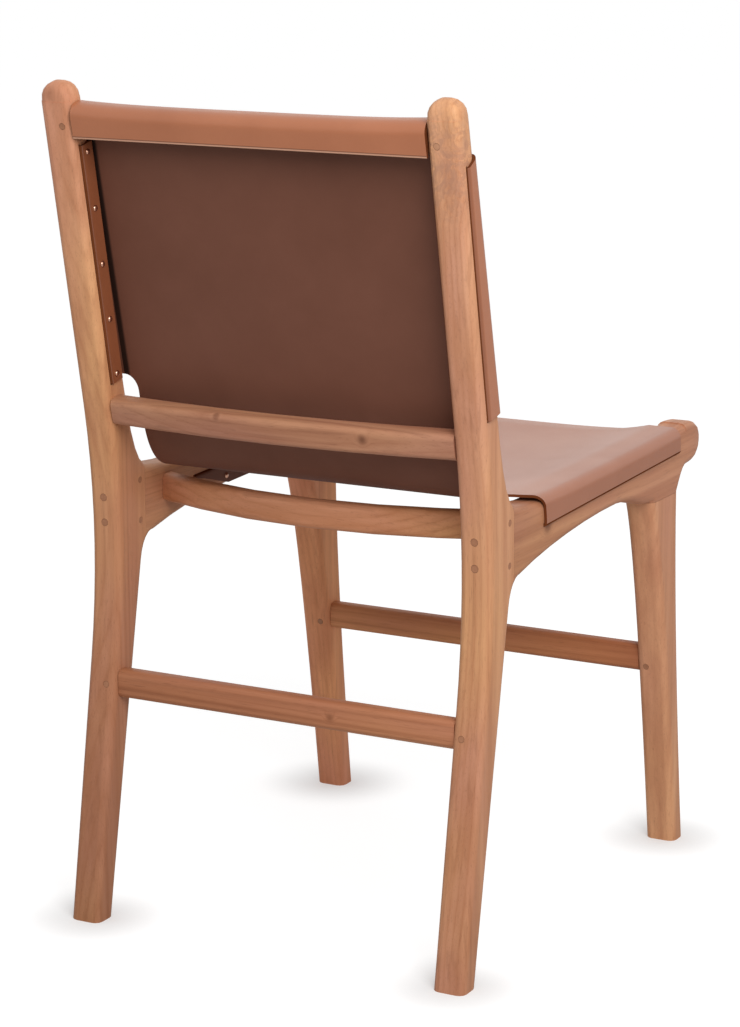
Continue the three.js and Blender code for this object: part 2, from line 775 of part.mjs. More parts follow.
// The sheet as triangles between rows. Where one row has no wing, only the middle is joined on.
function leatherSheet() {
  const crestPart = crestRows();
  const rows = [...crestPart, ...backRows(), ...curveRows(), ...seatRows(), ...tabRows()];
  const points = [];
  const ids = rows.map(({ main, left, right }) => {
    const take = (list) => list.map((p) => points.push(p) - 1);
    return { main: take(main), left: take(left), right: take(right) };
  });
  const faces = [];
  const quad = (a, b, c, d, flip) => {
    if (flip) faces.push([a, c, b], [b, c, d]);
    else faces.push([a, b, c], [b, d, c]);
  };
  for (let r = 0; r + 1 < ids.length; r += 1) {
    const [up, low] = [ids[r], ids[r + 1]];
    for (let i = 0; i + 1 < up.main.length; i += 1) {
      quad(up.main[i], up.main[i + 1], low.main[i], low.main[i + 1], false);
    }
    ['left', 'right'].forEach((side) => {
      const flip = side === 'right';
      const at = flip ? 0 : columnShares.length - 1;
      const a = [up.main[at], ...up[side]];
      const b = [low.main[at], ...low[side]];
      for (let i = 0; i + 1 < Math.min(a.length, b.length); i += 1) {
        quad(a[i], a[i + 1], b[i], b[i + 1], flip);
      }
      if (a.length > 2 && b.length < 2) faces.push(flip ? [a[0], b[0], a[1]] : [a[0], a[1], b[0]]);
      if (b.length > 2 && a.length < 2) faces.push(flip ? [a[0], b[0], b[1]] : [a[0], b[1], b[0]]);
    });
  }
  return thickened(points, faces);
}

// Gives a sheet its thickness, half to each side, and closes its edges.
function thickened(points, faces) {
  const normals = points.map(() => new THREE.Vector3());
  const edges = new Map();
  faces.forEach(([a, b, c]) => {
    const n = new THREE.Vector3().subVectors(points[b], points[a])
      .cross(new THREE.Vector3().subVectors(points[c], points[a])).normalize();
    [[a, b, c], [b, c, a], [c, a, b]].forEach(([i, j, k]) => {
      const u = new THREE.Vector3().subVectors(points[j], points[i]);
      const v = new THREE.Vector3().subVectors(points[k], points[i]);
      normals[i].addScaledVector(n, u.angleTo(v));
      if (edges.has(`${j},${i}`)) edges.delete(`${j},${i}`);
      else edges.set(`${i},${j}`, [i, j]);
    });
  });
  const count = points.length;
  const moved = (sign) => points.map((p, i) => p.clone()
    .addScaledVector(normals[i].normalize(), sign * leather / 2));
  const positions = [...moved(1), ...moved(-1)].flatMap((p) => [p.x, p.y, p.z]);
  const index = faces.flatMap(([a, b, c]) => [a, b, c, a + count, c + count, b + count]);
  edges.forEach(([i, j]) => index.push(i, i + count, j, j, i + count, j + count));
  const geometry = new THREE.BufferGeometry();
  geometry.setAttribute('position', new THREE.Float32BufferAttribute(positions, 3));
  geometry.setIndex(index);
  return solid(geometry);
}

// Slots in the posts and kerfs in the side rails, for the leather to pass through

function postSlot() {
  const ring = (z) => {
    const outer = slotDepth(z, postSlotOuter);
    const inner = slotDepth(z, postSlotInner);
    const slope = (outer - inner) / boardThickness;
    const mid = (x) => inner + slope * (x - innerFace);
    const xs = [innerFace - cutOverrun, halfWidth + cutOverrun];
    return [[xs[0], -1], [xs[1], -1], [xs[1], 1], [xs[0], 1]]
      .map(([x, side]) => besidePost(x, mid(x) + side * leatherOffset, z));
  };
  return loft([ring(postWingBottom - kerfEndGap), ring(postSlotTop + kerfEndGap)]);
}

function railKerf(back) {
  const ring = (y) => [[innerFace - cutOverrun, -1], [halfWidth + cutOverrun, -1],
    [halfWidth + cutOverrun, 1], [innerFace - cutOverrun, 1]]
    .map(([x, side]) => new THREE.Vector3(x, y, kerfHeight(y) + side * leatherOffset));
  return loft([ring(-seatWingFront - kerfEndGap), ring(back + kerfEndGap)]);
}

// Tacks: each has a place on the surface of the leather and the direction that its shank goes

function sideWord(side) {
  return side > 0 ? 'left' : 'right';
}

function tackPlaces() {
  const lip = leatherOffset + leather / 2 + tackSeatGap;
  const places = [];
  for (let i = 0; i < postTacks; i += 1) {
    const z = lerp(postSlotTop - postTackEnd, postWingBottom + postTackEnd, i / (postTacks - 1));
    const b = slotDepth(z, postSlotInner) - postTail / 2 + tackShankRadius;
    [1, -1].forEach((side) => {
      const spot = besidePost(side * (innerFace - lip), b, z);
      places.push({ name: `back_tack_${sideWord(side)}_${i + 1}`, spot, way: new THREE.Vector3(side, 0, 0) });
    });
  }
  for (let i = 0; i < seatTacks; i += 1) {
    const y = lerp(rearSeam - firstSeatTackSetback, seatTackEnd - seatWingFront, i / (seatTacks - 1));
    const z = kerfHeight(y) - seatTail / 2 - tackHeadRadius / 2;
    [1, -1].forEach((side) => {
      const spot = new THREE.Vector3(side * (innerFace - lip), y, z);
      places.push({ name: `seat_tack_${sideWord(side)}_${i + 1}`, spot, way: new THREE.Vector3(side, 0, 0) });
    });
  }
  for (let i = 0; i < frontTacks; i += 1) {
    const reach = crestLeatherHalf - frontTackEnd;
    const x = lerp(-reach, reach, i / (frontTacks - 1));
    const z = frontRailTop + frontRailRise * (1 - hollowShare(x)) - seatRailRadius - frontTail / 2;
    const spot = new THREE.Vector3(x, -frontRailFront - lip, z);
    places.push({ name: `front_tack_${i + 1}`, spot, way: new THREE.Vector3(0, 1, 0) });
  }
  return places;
}

function tack({ spot, way }) {
  const dome = arc(0, 0, 1, 0, Math.PI / 2, cornerSteps)
    .map(([x, y]) => new THREE.Vector2(x * tackHeadRadius, y * tackHeadHeight));
  dome[dome.length - 1].x = 0;
  const shank = [[0, -tackShankLength], [tackShankRadius, -tackShankLength], [tackShankRadius, 0]];
  const profile = [...shank.map(([x, y]) => new THREE.Vector2(x, y)), ...dome];
  const geometry = new THREE.LatheGeometry(profile, tackSides);
  const downwards = new THREE.Vector3(0, -1, 0);
  geometry.applyQuaternion(new THREE.Quaternion().setFromUnitVectors(downwards, way));
  geometry.translate(spot.x, spot.y, spot.z);
  return solid(geometry);
}

function tackHole({ spot, way }) {
  const start = spot.clone().addScaledVector(way, -tackHeadHeight);
  const end = spot.clone().addScaledVector(way, tackShankLength + tackHoleGap);
  return rod(start, end, tackShankRadius + tackHoleGap, holeSides);
}

// Pins and dowels of the +X side: each goes from a face of the board into it

function pinPlaces() {
  const crossY = rearSeam + crossPinSetback;
  const plugHigh = railTenonHigh - plugDrop;
  const crestPinHeight = crestMiddle - crestPinDrop;
  const frontPinHeight = frontStretcherMiddle - frontPinDrop;
  const along = (x, z, name, { yFace = legBack(z), depth = pinDepth, radius = pinRadius } = {}) => ({
    name,
    radius,
    from: new THREE.Vector3(x, yFace + cutOverrun, z),
    to: new THREE.Vector3(x, yFace - depth, z),
  });
  const through = (z, name) => ({
    name,
    radius: pinRadius,
    from: new THREE.Vector3(innerFace - cutOverrun, crossY, z),
    to: new THREE.Vector3(halfWidth + cutOverrun, crossY, z),
  });
  const plug = { depth: plugDepth, radius: plugRadius };
  const inFrontLeg = { yFace: placeAtHeight(frontLegBackEdge, frontPinHeight) };
  const nearInner = innerFace + crossTenonLength / 2;
  return [
    through(railTenonHigh - crossPinInset, 'seat_joint_pin_upper'),
    through(railTenonLow + 2 * crossPinInset, 'seat_joint_pin_lower'),
    along(boardMiddle, plugHigh, 'rear_plug_upper', plug),
    along(boardMiddle, plugHigh - plugSpacing, 'rear_plug_lower', plug),
    along(nearInner, rearStretcherMiddle, 'rear_stretcher_pin'),
    along(nearInner, frontPinHeight, 'front_stretcher_pin', inFrontLeg),
    along(nearInner, crestPinHeight, 'crest_pin'),
  ];
}

function assemble() {
  const board = sideBoard().subtract(box(0, past, -past, past, -2 * cutOverrun, 0));
  const rearRegion = box(0, past, rearSeam + half, past, 0, 2 * height);
  const frontRegion = box(0, past, -past, 0, 0, frontSeamHeight - half);
  const railRegion = box(0, past, -past, rearSeam - half, 0, height)
    .subtract(box(0, past, -past, 0, 0, frontSeamHeight + half));
  const pins = pinPlaces();
  const bodies = pins.map((pin) => rod(pin.from, pin.to, pin.radius, roundSides).intersect(board));
  const holeFor = (pin) => rod(pin.from, pin.to.clone().add(endGap(pin)), pin.radius + pinGap, roundSides);
  const holes = pins.map(holeFor).reduce((all, hole) => all.add(hole));

  const railTenon = [rearSeam - cutOverrun, rearSeam + railTenonLength, railTenonLow, railTenonHigh];
  const legTenon = [-legTenonFront, -legTenonBack,
    frontSeamHeight - cutOverrun, frontSeamHeight + legTenonHeight];
  const crossings = [crest, lumbar, rearRail, frontRail, rearStretcher, frontStretcher];
  const mortises = crossings.map((rail) => crossTenons(rail, jointGap)).reduce((all, cut) => all.add(cut));
  const tacks = tackPlaces();
  const tackHoles = tacks.map(tackHole).reduce((all, hole) => all.add(hole));
  const slot = postSlot();

  const leg = board.intersect(rearRegion).subtract(tenonBox(jointGap, ...railTenon));
  const front = board.intersect(frontRegion).add(tenonBox(0, ...legTenon));
  const rail = board.intersect(railRegion).subtract(tenonBox(jointGap, ...legTenon))
    .add(tenonBox(0, ...railTenon));
  const cutAll = (shape) => shape.subtract(mortises).subtract(holes);
  const sided = (shape, side) => (side > 0 ? shape : mirrored(shape));

  [[1, seatWingBackLeft], [-1, seatWingBackRight]].forEach(([side, wingBack]) => {
    const word = sideWord(side);
    add(`rear_leg_${word}`, sided(cutAll(leg).subtract(slot), side).subtract(tackHoles),
      teak(teakShades.leg));
    add(`front_leg_${word}`, sided(cutAll(front), side), teak(teakShades.leg));
    add(`side_rail_${word}`, sided(cutAll(rail).subtract(railKerf(wingBack)), side).subtract(tackHoles),
      teak(teakShades.rail));
    pins.forEach((pin, i) => add(`${pin.name}_${word}`, sided(bodies[i], side), teak(teakShades.pin)));
  });

  const pinHoles = holes.add(mirrored(holes));
  const named = [['crest_rail', crest], ['lumbar_rail', lumbar], ['rear_seat_rail', rearRail],
    ['front_seat_rail', frontRail], ['rear_stretcher', rearStretcher], ['front_stretcher', frontStretcher]];
  named.forEach(([name, rail]) => {
    const body = crossRail(rail).add(crossTenons(rail, 0)).subtract(pinHoles).subtract(tackHoles);
    add(name, body, teak(name.includes('stretcher') ? teakShades.stretcher : teakShades.rail));
  });

  add('leather_sling', leatherSheet().subtract(tackHoles), tanLeather);
  tacks.forEach((place) => add(place.name, tack(place), brass()));
}

// A blind hole is a little deeper than its pin.
function endGap(pin) {
  return new THREE.Vector3().subVectors(pin.to, pin.from).setLength(pinGap);
}

assemble();

// The depth is measured about the middle of the chair, so that it stands centred over the origin.
const extent = new THREE.Box3().setFromObject(chair);
chair.children.forEach((mesh) => mesh.geometry.translate(0, -(extent.min.y + extent.max.y) / 2, 0));

export default chair;
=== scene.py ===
# %% [markdown]
# # A teak dining chair with a leather sling
# The chair is two shaped side frames joined by six cross rails. One cut sheet of saddle
# leather makes both back and seat: it hangs over the crest rail, wraps round the posts and
# side rails, passes through slots in them and is tacked on the inside.
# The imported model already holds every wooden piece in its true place, so this lesson loads
# it as a fixed frame and gives it wood, then makes the leather and the tacks anew.
# All sizes are metres. X points to the sitter's left, Y backwards and Z up.

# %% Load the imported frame
import math

import bpy
import numpy as np
from mathutils import Matrix, Vector


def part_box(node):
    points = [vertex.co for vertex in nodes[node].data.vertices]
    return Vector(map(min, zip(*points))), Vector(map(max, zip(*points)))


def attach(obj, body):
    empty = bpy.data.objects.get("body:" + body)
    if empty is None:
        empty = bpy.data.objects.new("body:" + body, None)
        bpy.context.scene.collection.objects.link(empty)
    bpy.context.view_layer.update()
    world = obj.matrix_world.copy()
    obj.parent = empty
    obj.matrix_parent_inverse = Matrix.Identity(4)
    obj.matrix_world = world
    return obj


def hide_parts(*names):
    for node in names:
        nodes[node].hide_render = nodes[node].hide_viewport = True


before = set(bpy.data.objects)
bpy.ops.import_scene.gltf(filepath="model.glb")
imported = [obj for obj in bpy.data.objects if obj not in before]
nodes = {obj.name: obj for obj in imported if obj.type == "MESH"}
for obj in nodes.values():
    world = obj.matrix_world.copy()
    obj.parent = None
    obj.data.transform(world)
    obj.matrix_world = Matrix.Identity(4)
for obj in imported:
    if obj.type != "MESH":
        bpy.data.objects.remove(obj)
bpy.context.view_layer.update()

# %% [markdown]
# ## Camera
# The view is from behind and above, over the sitter's right shoulder. A long lens far away
# keeps the uprights nearly parallel, as a product photograph does. The camera's place and
# turn were fitted to the straight edges of the frame, so it is given as a position and three
# angles: round the chair, up, and a very small roll. Aiming it at a point would be shorter,
# but couldn't hold that roll.

# %% Camera
AROUND, ABOVE, ROLL = (math.radians(v) for v in (208.589, 12.898, -0.149))
CAMERA_PLACE = Vector((-1.4582, 2.7245, 1.1026))
SENSOR_HEIGHT, LENS = 36, 106.53

away = Vector((math.sin(AROUND) * math.cos(ABOVE), -math.cos(AROUND) * math.cos(ABOVE), math.sin(ABOVE)))
level_right = (-away).cross(Vector((0, 0, 1))).normalized()
level_up = level_right.cross(-away)
right = level_right * math.cos(ROLL) + level_up * math.sin(ROLL)
up = level_up * math.cos(ROLL) - level_right * math.sin(ROLL)

camera = bpy.data.objects.new("camera", bpy.data.cameras.new("camera"))
bpy.context.scene.collection.objects.link(camera)
camera.data.sensor_fit = "VERTICAL"
camera.data.sensor_height = SENSOR_HEIGHT
camera.data.lens = LENS
camera.data.clip_end = 200
camera.matrix_world = Matrix((
    (right.x, up.x, away.x, CAMERA_PLACE.x),
    (right.y, up.y, away.y, CAMERA_PLACE.y),
    (right.z, up.z, away.z, CAMERA_PLACE.z),
    (0, 0, 0, 1)))
bpy.context.scene.camera = camera
print("camera: lens", camera.data.lens, "mm, height", round(camera.location.z, 3), "m")

# %% [markdown]
# ## Studio
# The chair stands in a white room: a pale floor without an end, an even white sky and one
# broad round lamp behind and above, to the right of the camera. It stands near, so the top
# of the back gets more light than the feet. To the eye the floor also glows a little,
# so it goes white. Close to a foot it glows less, so the foot's own shadow shows, and the
# dimmer glow itself paints shade round each foot. In a gloss it glows less, because there
# its own pale colour is enough. Stronger lamps would whiten the floor too, but they would
# also bleach the leather.

# %% Helpers for node trees
def feed(tree, node, inputs):
    """Gives a node its inputs: a link where the value is a socket, else the plain value."""
    for key, value in inputs.items():
        if isinstance(value, bpy.types.NodeSocket):
            tree.links.new(value, node.inputs[key])
        else:
            node.inputs[key].default_value = value


def add_node(tree, kind, settings=None, inputs=None):
    """One node of the given kind, with its settings and its inputs."""
    node = tree.nodes.new(kind)
    for key, value in (settings or {}).items():
        setattr(node, key, value)
    feed(tree, node, inputs or {})
    return node


def linear(red, green, blue):
    """A colour given as 0 to 255 on a screen, as light: ((c + 0.055) / 1.055) to the power 2.4."""
    shares = np.array([red, green, blue]) / 255
    light = np.where(shares > 0.04045, ((shares + 0.055) / 1.055) ** 2.4, shares / 12.92)
    return (*(float(v) for v in light), 1.0)


def maths(tree, operation, first, second=None, third=None):
    """One step of arithmetic on the graph; an argument is a socket or a number."""
    given = {i: value for i, value in enumerate((first, second, third)) if value is not None}
    return add_node(tree, "ShaderNodeMath", {"operation": operation}, given).outputs[0]


def length(tree, first, second):
    """The distance across two square steps: the root of first squared plus second squared."""
    return maths(tree, "SQRT", maths(tree, "ADD", maths(tree, "MULTIPLY", first, first),
                                     maths(tree, "MULTIPLY", second, second)))


def map_range(tree, value, start, end, first=1, last=0, kind="SMOOTHSTEP"):
    """A value between start and end turned into one between first and last, and held beyond."""
    return add_node(tree, "ShaderNodeMapRange", {"interpolation_type": kind},
                    {"Value": value, "From Min": start, "From Max": end,
                     "To Min": first, "To Max": last}).outputs[0]


def new_material(name):
    """A new material, with its node tree and its Principled shader."""
    material = bpy.data.materials.new(name)
    material.use_nodes = True
    return material, material.node_tree, material.node_tree.nodes["Principled BSDF"]


def seen_directly(tree, in_gloss=1.0):
    """One for what the camera sees straight or through glass, a given share for what it sees
    in a gloss, and none for light that only falls on things."""
    path = add_node(tree, "ShaderNodeLightPath").outputs
    straight = maths(tree, "MAXIMUM", path["Is Camera Ray"], path["Is Transmission Ray"])
    return maths(tree, "MAXIMUM", straight, maths(tree, "MULTIPLY", path["Is Glossy Ray"], in_gloss))


print("a screen grey of 128 is", round(linear(128, 128, 128)[0], 3), "of full light")

# %% Room and key lamp
ROOM_STRENGTH = 0.55
KEY_PLACE, KEY_AIM = Vector((-1.45, 1.52, 1.80)), Vector((0, 0.05, 0.62))
KEY_SIZE, KEY_WATTS = 1.5, 36

world = bpy.data.worlds.new("studio")
bpy.context.scene.world = world
world.use_nodes = True
tree = world.node_tree
tree.nodes.clear()
room = add_node(tree, "ShaderNodeBackground", inputs={"Color": (1, 1, 1, 1), "Strength": ROOM_STRENGTH})
white = add_node(tree, "ShaderNodeBackground", inputs={"Color": (1, 1, 1, 1), "Strength": 1})
choose = add_node(tree, "ShaderNodeMixShader",
                  inputs={0: seen_directly(tree), 1: room.outputs[0], 2: white.outputs[0]})
add_node(tree, "ShaderNodeOutputWorld", inputs={"Surface": choose.outputs[0]})

key = bpy.data.objects.new("key", bpy.data.lights.new("key", "AREA"))
bpy.context.scene.collection.objects.link(key)
key.data.shape = "DISK"
key.data.size = KEY_SIZE
key.data.energy = KEY_WATTS
key_turn = (KEY_PLACE - KEY_AIM).to_track_quat("Z", "Y")
key.matrix_world = Matrix.Translation(KEY_PLACE) @ key_turn.to_matrix().to_4x4()
print("studio: key lamp", key.data.energy, "W, room", room.inputs["Strength"].default_value)

# %% Floor
FLOOR_GREY = 0.60
# How far the feet stand aside and from their middle; where the painted shade round a foot
# is full and where it ends; and the glow there, beyond it, and its share in a gloss.
FEET_ASIDE, FEET_BEFORE, FEET_MIDDLE = 0.209, 0.2566, 0.0085
SHADOW_NEAR, SHADOW_FAR = 0.01, 0.10
GLOW_NEAR, GLOW_FAR, GLOW_IN_GLOSS = 0.36, 0.67, 0.15

bpy.ops.mesh.primitive_plane_add(size=120)
floor = bpy.context.object
floor.name = "floor"
paper, tree, _ = new_material("floor_paper")
tree.nodes.clear()
place = add_node(tree, "ShaderNodeTexCoord").outputs["Object"]
spot = add_node(tree, "ShaderNodeSeparateXYZ", inputs={0: place})
aside = maths(tree, "SUBTRACT", maths(tree, "ABSOLUTE", spot.outputs["X"]), FEET_ASIDE)
from_middle = maths(tree, "ABSOLUTE", maths(tree, "SUBTRACT", spot.outputs["Y"], FEET_MIDDLE))
from_foot = length(tree, aside, maths(tree, "SUBTRACT", from_middle, FEET_BEFORE))
# Less glow near each foot darkens the floor there: painted shade round the feet, over their own shadow.
amount = map_range(tree, from_foot, SHADOW_NEAR, SHADOW_FAR, GLOW_NEAR, GLOW_FAR)
strength = maths(tree, "MULTIPLY", seen_directly(tree, GLOW_IN_GLOSS), amount)
matt = add_node(tree, "ShaderNodeBsdfDiffuse",
                inputs={"Color": (FLOOR_GREY, FLOOR_GREY, FLOOR_GREY, 1)})
glow = add_node(tree, "ShaderNodeEmission", inputs={"Color": (1, 1, 1, 1), "Strength": strength})
both = add_node(tree, "ShaderNodeAddShader", inputs={0: matt.outputs[0], 1: glow.outputs[0]})
add_node(tree, "ShaderNodeOutputMaterial", inputs={"Surface": both.outputs[0]})
floor.data.materials.append(paper)
bpy.context.scene.view_settings.view_transform = "Standard"
print("floor:", FLOOR_GREY, "grey; its glow goes from", GLOW_NEAR, "at a foot to", GLOW_FAR)

# %% [markdown]
# ## Teak
# Teak shows fine dark lines where a year's growth ends, long pale and rosy streaks, short
# dark pores along the grain, and a knot here and there that pushes the lines aside.
# A picture of wood could be wrapped round each board, but it would smear at the bends and
# not fit from face to face. A real board is cut from a log, and its face shows where the saw
# met the rings. The material does the same: it measures the distance from a log's heart that
# runs along the grain, bends it with slow noise and draws a ring for every few millimetres.
# Curved legs then cut through the rings by themselves, as on the real chair. Over the rings
# lie streaks, threads, fibre and pores, each laid on by its own share. The whole board is
# tinted from one end to the other, partly its own tone and partly painted light and shade,
# and a burl adds grey swirls.

# %% Helpers for textures
def noise(tree, vector, scale, detail, rough=0.5, distortion=0):
    """Blender's cloudy noise, as a value: scale spots a metre, with finer layers by detail."""
    return add_node(tree, "ShaderNodeTexNoise", inputs={
        "Vector": vector, "Scale": scale, "Detail": detail, "Roughness": rough,
        "Distortion": distortion}).outputs["Fac"]


def stretched_noise(tree, vector, across, along, detail, seed):
    """Noise whose spots are 1/across wide and 1/along long, in metres, with the grain along Z."""
    fit = add_node(tree, "ShaderNodeMapping", inputs={
        "Vector": vector, "Scale": (across, across, along), "Location": (seed, seed * 0.7, seed * 1.3)})
    return noise(tree, fit.outputs[0], 1, detail, 0.55)


def mix_colours(tree, share, first, second, kind="MIX"):
    """Blends two colours by a share; each is a socket or a colour. The node keeps the share in
    its input 0 and the colours in 6 and 7, and gives the result in its output 2."""
    return add_node(tree, "ShaderNodeMix", {"data_type": "RGBA", "blend_type": kind},
                    {0: share, 6: first, 7: second}).outputs[2]


def ramp(tree, value, stops):
    """A value turned into a shade along a few stops, given as (place, shade)."""
    node = add_node(tree, "ShaderNodeValToRGB", inputs={0: value})
    points = node.color_ramp.elements
    while len(points) < len(stops):
        points.new(0.5)
    for point, (place, shade) in zip(points, stops):
        point.position = place
        point.color = (shade, shade, shade, 1)
    return node.outputs[0]


def add_bump(tree, height, strength, distance):
    """Dents a material's surface by a height from 0 to 1 times a distance."""
    bump = add_node(tree, "ShaderNodeBump",
                    inputs={"Height": height, "Strength": strength, "Distance": distance})
    feed(tree, tree.nodes["Principled BSDF"], {"Normal": bump.outputs[0]})


def hill_round(tree, place, centre, reach):
    """A share that is one at a point and falls smoothly to nothing at the reach."""
    gap = add_node(tree, "ShaderNodeVectorMath", {"operation": "DISTANCE"}, {0: place, 1: centre})
    return map_range(tree, gap.outputs["Value"], 0, reach, kind="SMOOTHERSTEP")


print("noise, ramps, bumps and hills are ready")

# %% Teak material
GRAIN_TURN = {"z": (0, 0, 0), "y": (math.pi / 2, 0, 0), "x": (0, -math.pi / 2, 0)}
GOLDEN, ROSY = linear(215, 162, 114), linear(197, 141, 112)
DEEP, DARK, GREY = linear(166, 108, 73), linear(112, 68, 44), linear(156, 113, 92)
SWAY = 0.018


def teak(name, grain, span, heart, spacing, figure, tone_and_shade, seed, knots=(), burls=()):
    """Teak with its grain along one axis, from span[0] to span[1], tinted from end to end,
    partly by the board's own tone and partly by painted light and shade.
    figure is how strongly the growth lines show, from none at 0 to bold at 1.
    heart is the place of the log's heart across the grain. The ring that a point lies in is
    its distance from the heart plus slow noise, divided by the spacing. A knot adds a smooth
    hill to that distance; a burl adds a wider hill and grey-brown swirls."""
    material, tree, shader = new_material(name)
    place = add_node(tree, "ShaderNodeTexCoord").outputs["Object"]
    turn = add_node(tree, "ShaderNodeMapping", inputs={"Vector": place, "Rotation": GRAIN_TURN[grain]})
    along_z = turn.outputs[0]

    split = add_node(tree, "ShaderNodeSeparateXYZ", inputs={0: along_z})
    off = []
    for side, shift in ((0, 0), (1, 7)):
        slow = stretched_noise(tree, along_z, 9, 2.2, 1.5, seed + shift)
        sway = maths(tree, "MULTIPLY_ADD", slow, 2 * SWAY, -SWAY)
        off.append(maths(tree, "SUBTRACT", maths(tree, "ADD", split.outputs[side], sway), heart[side]))
    distance = length(tree, *off)
    cores, swirls = [], []
    for centre, reach in knots:
        hill = hill_round(tree, place, centre, reach)
        distance = maths(tree, "MULTIPLY_ADD", hill, reach * 0.8, distance)
        cores.append(maths(tree, "POWER", hill, 3.0))
    for centre, reach in burls:
        hill = hill_round(tree, place, centre, reach)
        twist = noise(tree, place, 52, 4, distortion=2.6)
        push = maths(tree, "MULTIPLY", hill, twist)
        distance = maths(tree, "MULTIPLY_ADD", push, 0.03, distance)
        swirls.append(maths(tree, "MULTIPLY", maths(tree, "POWER", hill, 0.5),
                            ramp(tree, twist, ((0.40, 0.0), (0.62, 1.0)))))

    fibre = stretched_noise(tree, along_z, 520, 14, 3, seed + 1)
    ring = maths(tree, "FRACT", maths(tree, "ADD", maths(tree, "DIVIDE", distance, spacing),
                                      maths(tree, "MULTIPLY", fibre, 0.35)))
    line = ramp(tree, ring, ((0.0, 1.0), (0.16, 0.35), (0.5, 0.0), (0.82, 0.25), (1.0, 1.0)))
    strength = ramp(tree, stretched_noise(tree, along_z, 30, 3, 2, seed + 3), ((0.3, 0.15), (0.7, 1.0)))
    streak = ramp(tree, stretched_noise(tree, along_z, 66, 1.1, 3, seed + 5), ((0.34, 0.0), (0.66, 1.0)))
    thread = ramp(tree, stretched_noise(tree, along_z, 190, 1.5, 2, seed + 6), ((0.55, 0.0), (0.75, 1.0)))
    patch = ramp(tree, stretched_noise(tree, along_z, 11, 3, 2, seed + 9), ((0.35, 0.0), (0.65, 1.0)))
    pore = ramp(tree, stretched_noise(tree, along_z, 1500, 55, 2, seed + 2), ((0.60, 0.0), (0.70, 1.0)))

    layers = [(streak, 0.50, DEEP), (maths(tree, "MULTIPLY", line, strength), 0.6 * figure, DEEP),
              (thread, 0.28 * figure, DARK), (maths(tree, "SUBTRACT", fibre, 0.3), 0.35, DEEP),
              (pore, 0.26, DARK)]
    layers += [(swirl, 0.6, GREY) for swirl in swirls] + [(core, 0.75, DARK) for core in cores]
    colour = mix_colours(tree, patch, GOLDEN, ROSY)
    for share, most, layer in layers:
        colour = mix_colours(tree, maths(tree, "MULTIPLY", share, most), colour, layer)
    where = add_node(tree, "ShaderNodeSeparateXYZ", inputs={0: place}).outputs["xyz".index(grain)]
    # The tint from end to end is partly the board's own tone and partly painted light and shade, such as
    # darker towards the feet.
    from_end = map_range(tree, where, *span, 0, 1, "LINEAR")
    tint = mix_colours(tree, from_end, (*tone_and_shade[0], 1.0), (*tone_and_shade[1], 1.0))

    height = maths(tree, "SUBTRACT", maths(tree, "MULTIPLY", fibre, 0.4), pore)
    add_bump(tree, height, strength=0.35, distance=0.00025)
    feed(tree, shader, {"Base Color": mix_colours(tree, 1.0, colour, tint, "MULTIPLY"),
                        "Roughness": maths(tree, "MULTIPLY_ADD", fibre, 0.14, 0.40),
                        "Specular IOR Level": 0.18})
    return material


print("teak: rings sway by", SWAY * 1000, "mm at most")

# %% [markdown]
# ## End grain
# A peg shows its cut end, where the fibres point at the eye: no lines, but dots of open
# pores, and a darker tone than the board round it. So pegs get a material of their own.

# %% End grain of pins and plugs
def end_grain(name, deep, pale):
    """The cut end of a peg, between a deep and a pale tone, with open pores seen as dots."""
    material, tree, shader = new_material(name)
    place = add_node(tree, "ShaderNodeTexCoord").outputs["Object"]
    cells = add_node(tree, "ShaderNodeTexVoronoi", inputs={"Vector": place, "Scale": 1400})
    colour = mix_colours(tree, noise(tree, place, 260, 3), deep, pale)
    dots = ramp(tree, cells.outputs["Distance"], ((0.0, 1.0), (0.28, 0.0)))
    colour = mix_colours(tree, maths(tree, "MULTIPLY", dots, 0.4), colour, linear(86, 50, 32))
    feed(tree, shader, {"Base Color": colour, "Roughness": 0.6})
    return material


peg_wood = end_grain("teak_end_grain", linear(148, 96, 66), linear(178, 124, 90))
pale_peg = end_grain("teak_end_grain_pale", linear(176, 124, 92), linear(204, 150, 114))
print("end grain:", peg_wood.name, pale_peg.name)

# %% [markdown]
# ## Wood on the imported pieces
# The wooden solids keep their shape. They come as loose flat triangles, so each gets three
# live modifiers: Weld joins the corners, Edge Split opens the real arrises, and Weighted
# Normal lets the rounded edges shade as rounds. Every board gets its own cut of teak, with
# the grain along its length, because no two boards of a chair match. The crest rail is tinted
# very dark as painted shade, because only its ends show, deep between the leather and the posts.

# %% Give each wooden piece its teak
ARRIS = math.radians(34)


def finish_wood(node, material):
    """Joins the loose triangles for shading and puts one material on the node."""
    mesh = node.data
    mesh.polygons.foreach_set("use_smooth", np.ones(len(mesh.polygons), dtype=bool))
    weld = node.modifiers.new("weld", "WELD")
    weld.merge_threshold = 1e-5
    split = node.modifiers.new("arrises", "EDGE_SPLIT")
    split.split_angle = ARRIS
    weighted = node.modifiers.new("soft_rounds", "WEIGHTED_NORMAL")
    weighted.keep_sharp = True
    mesh.materials.clear()
    mesh.materials.append(material)
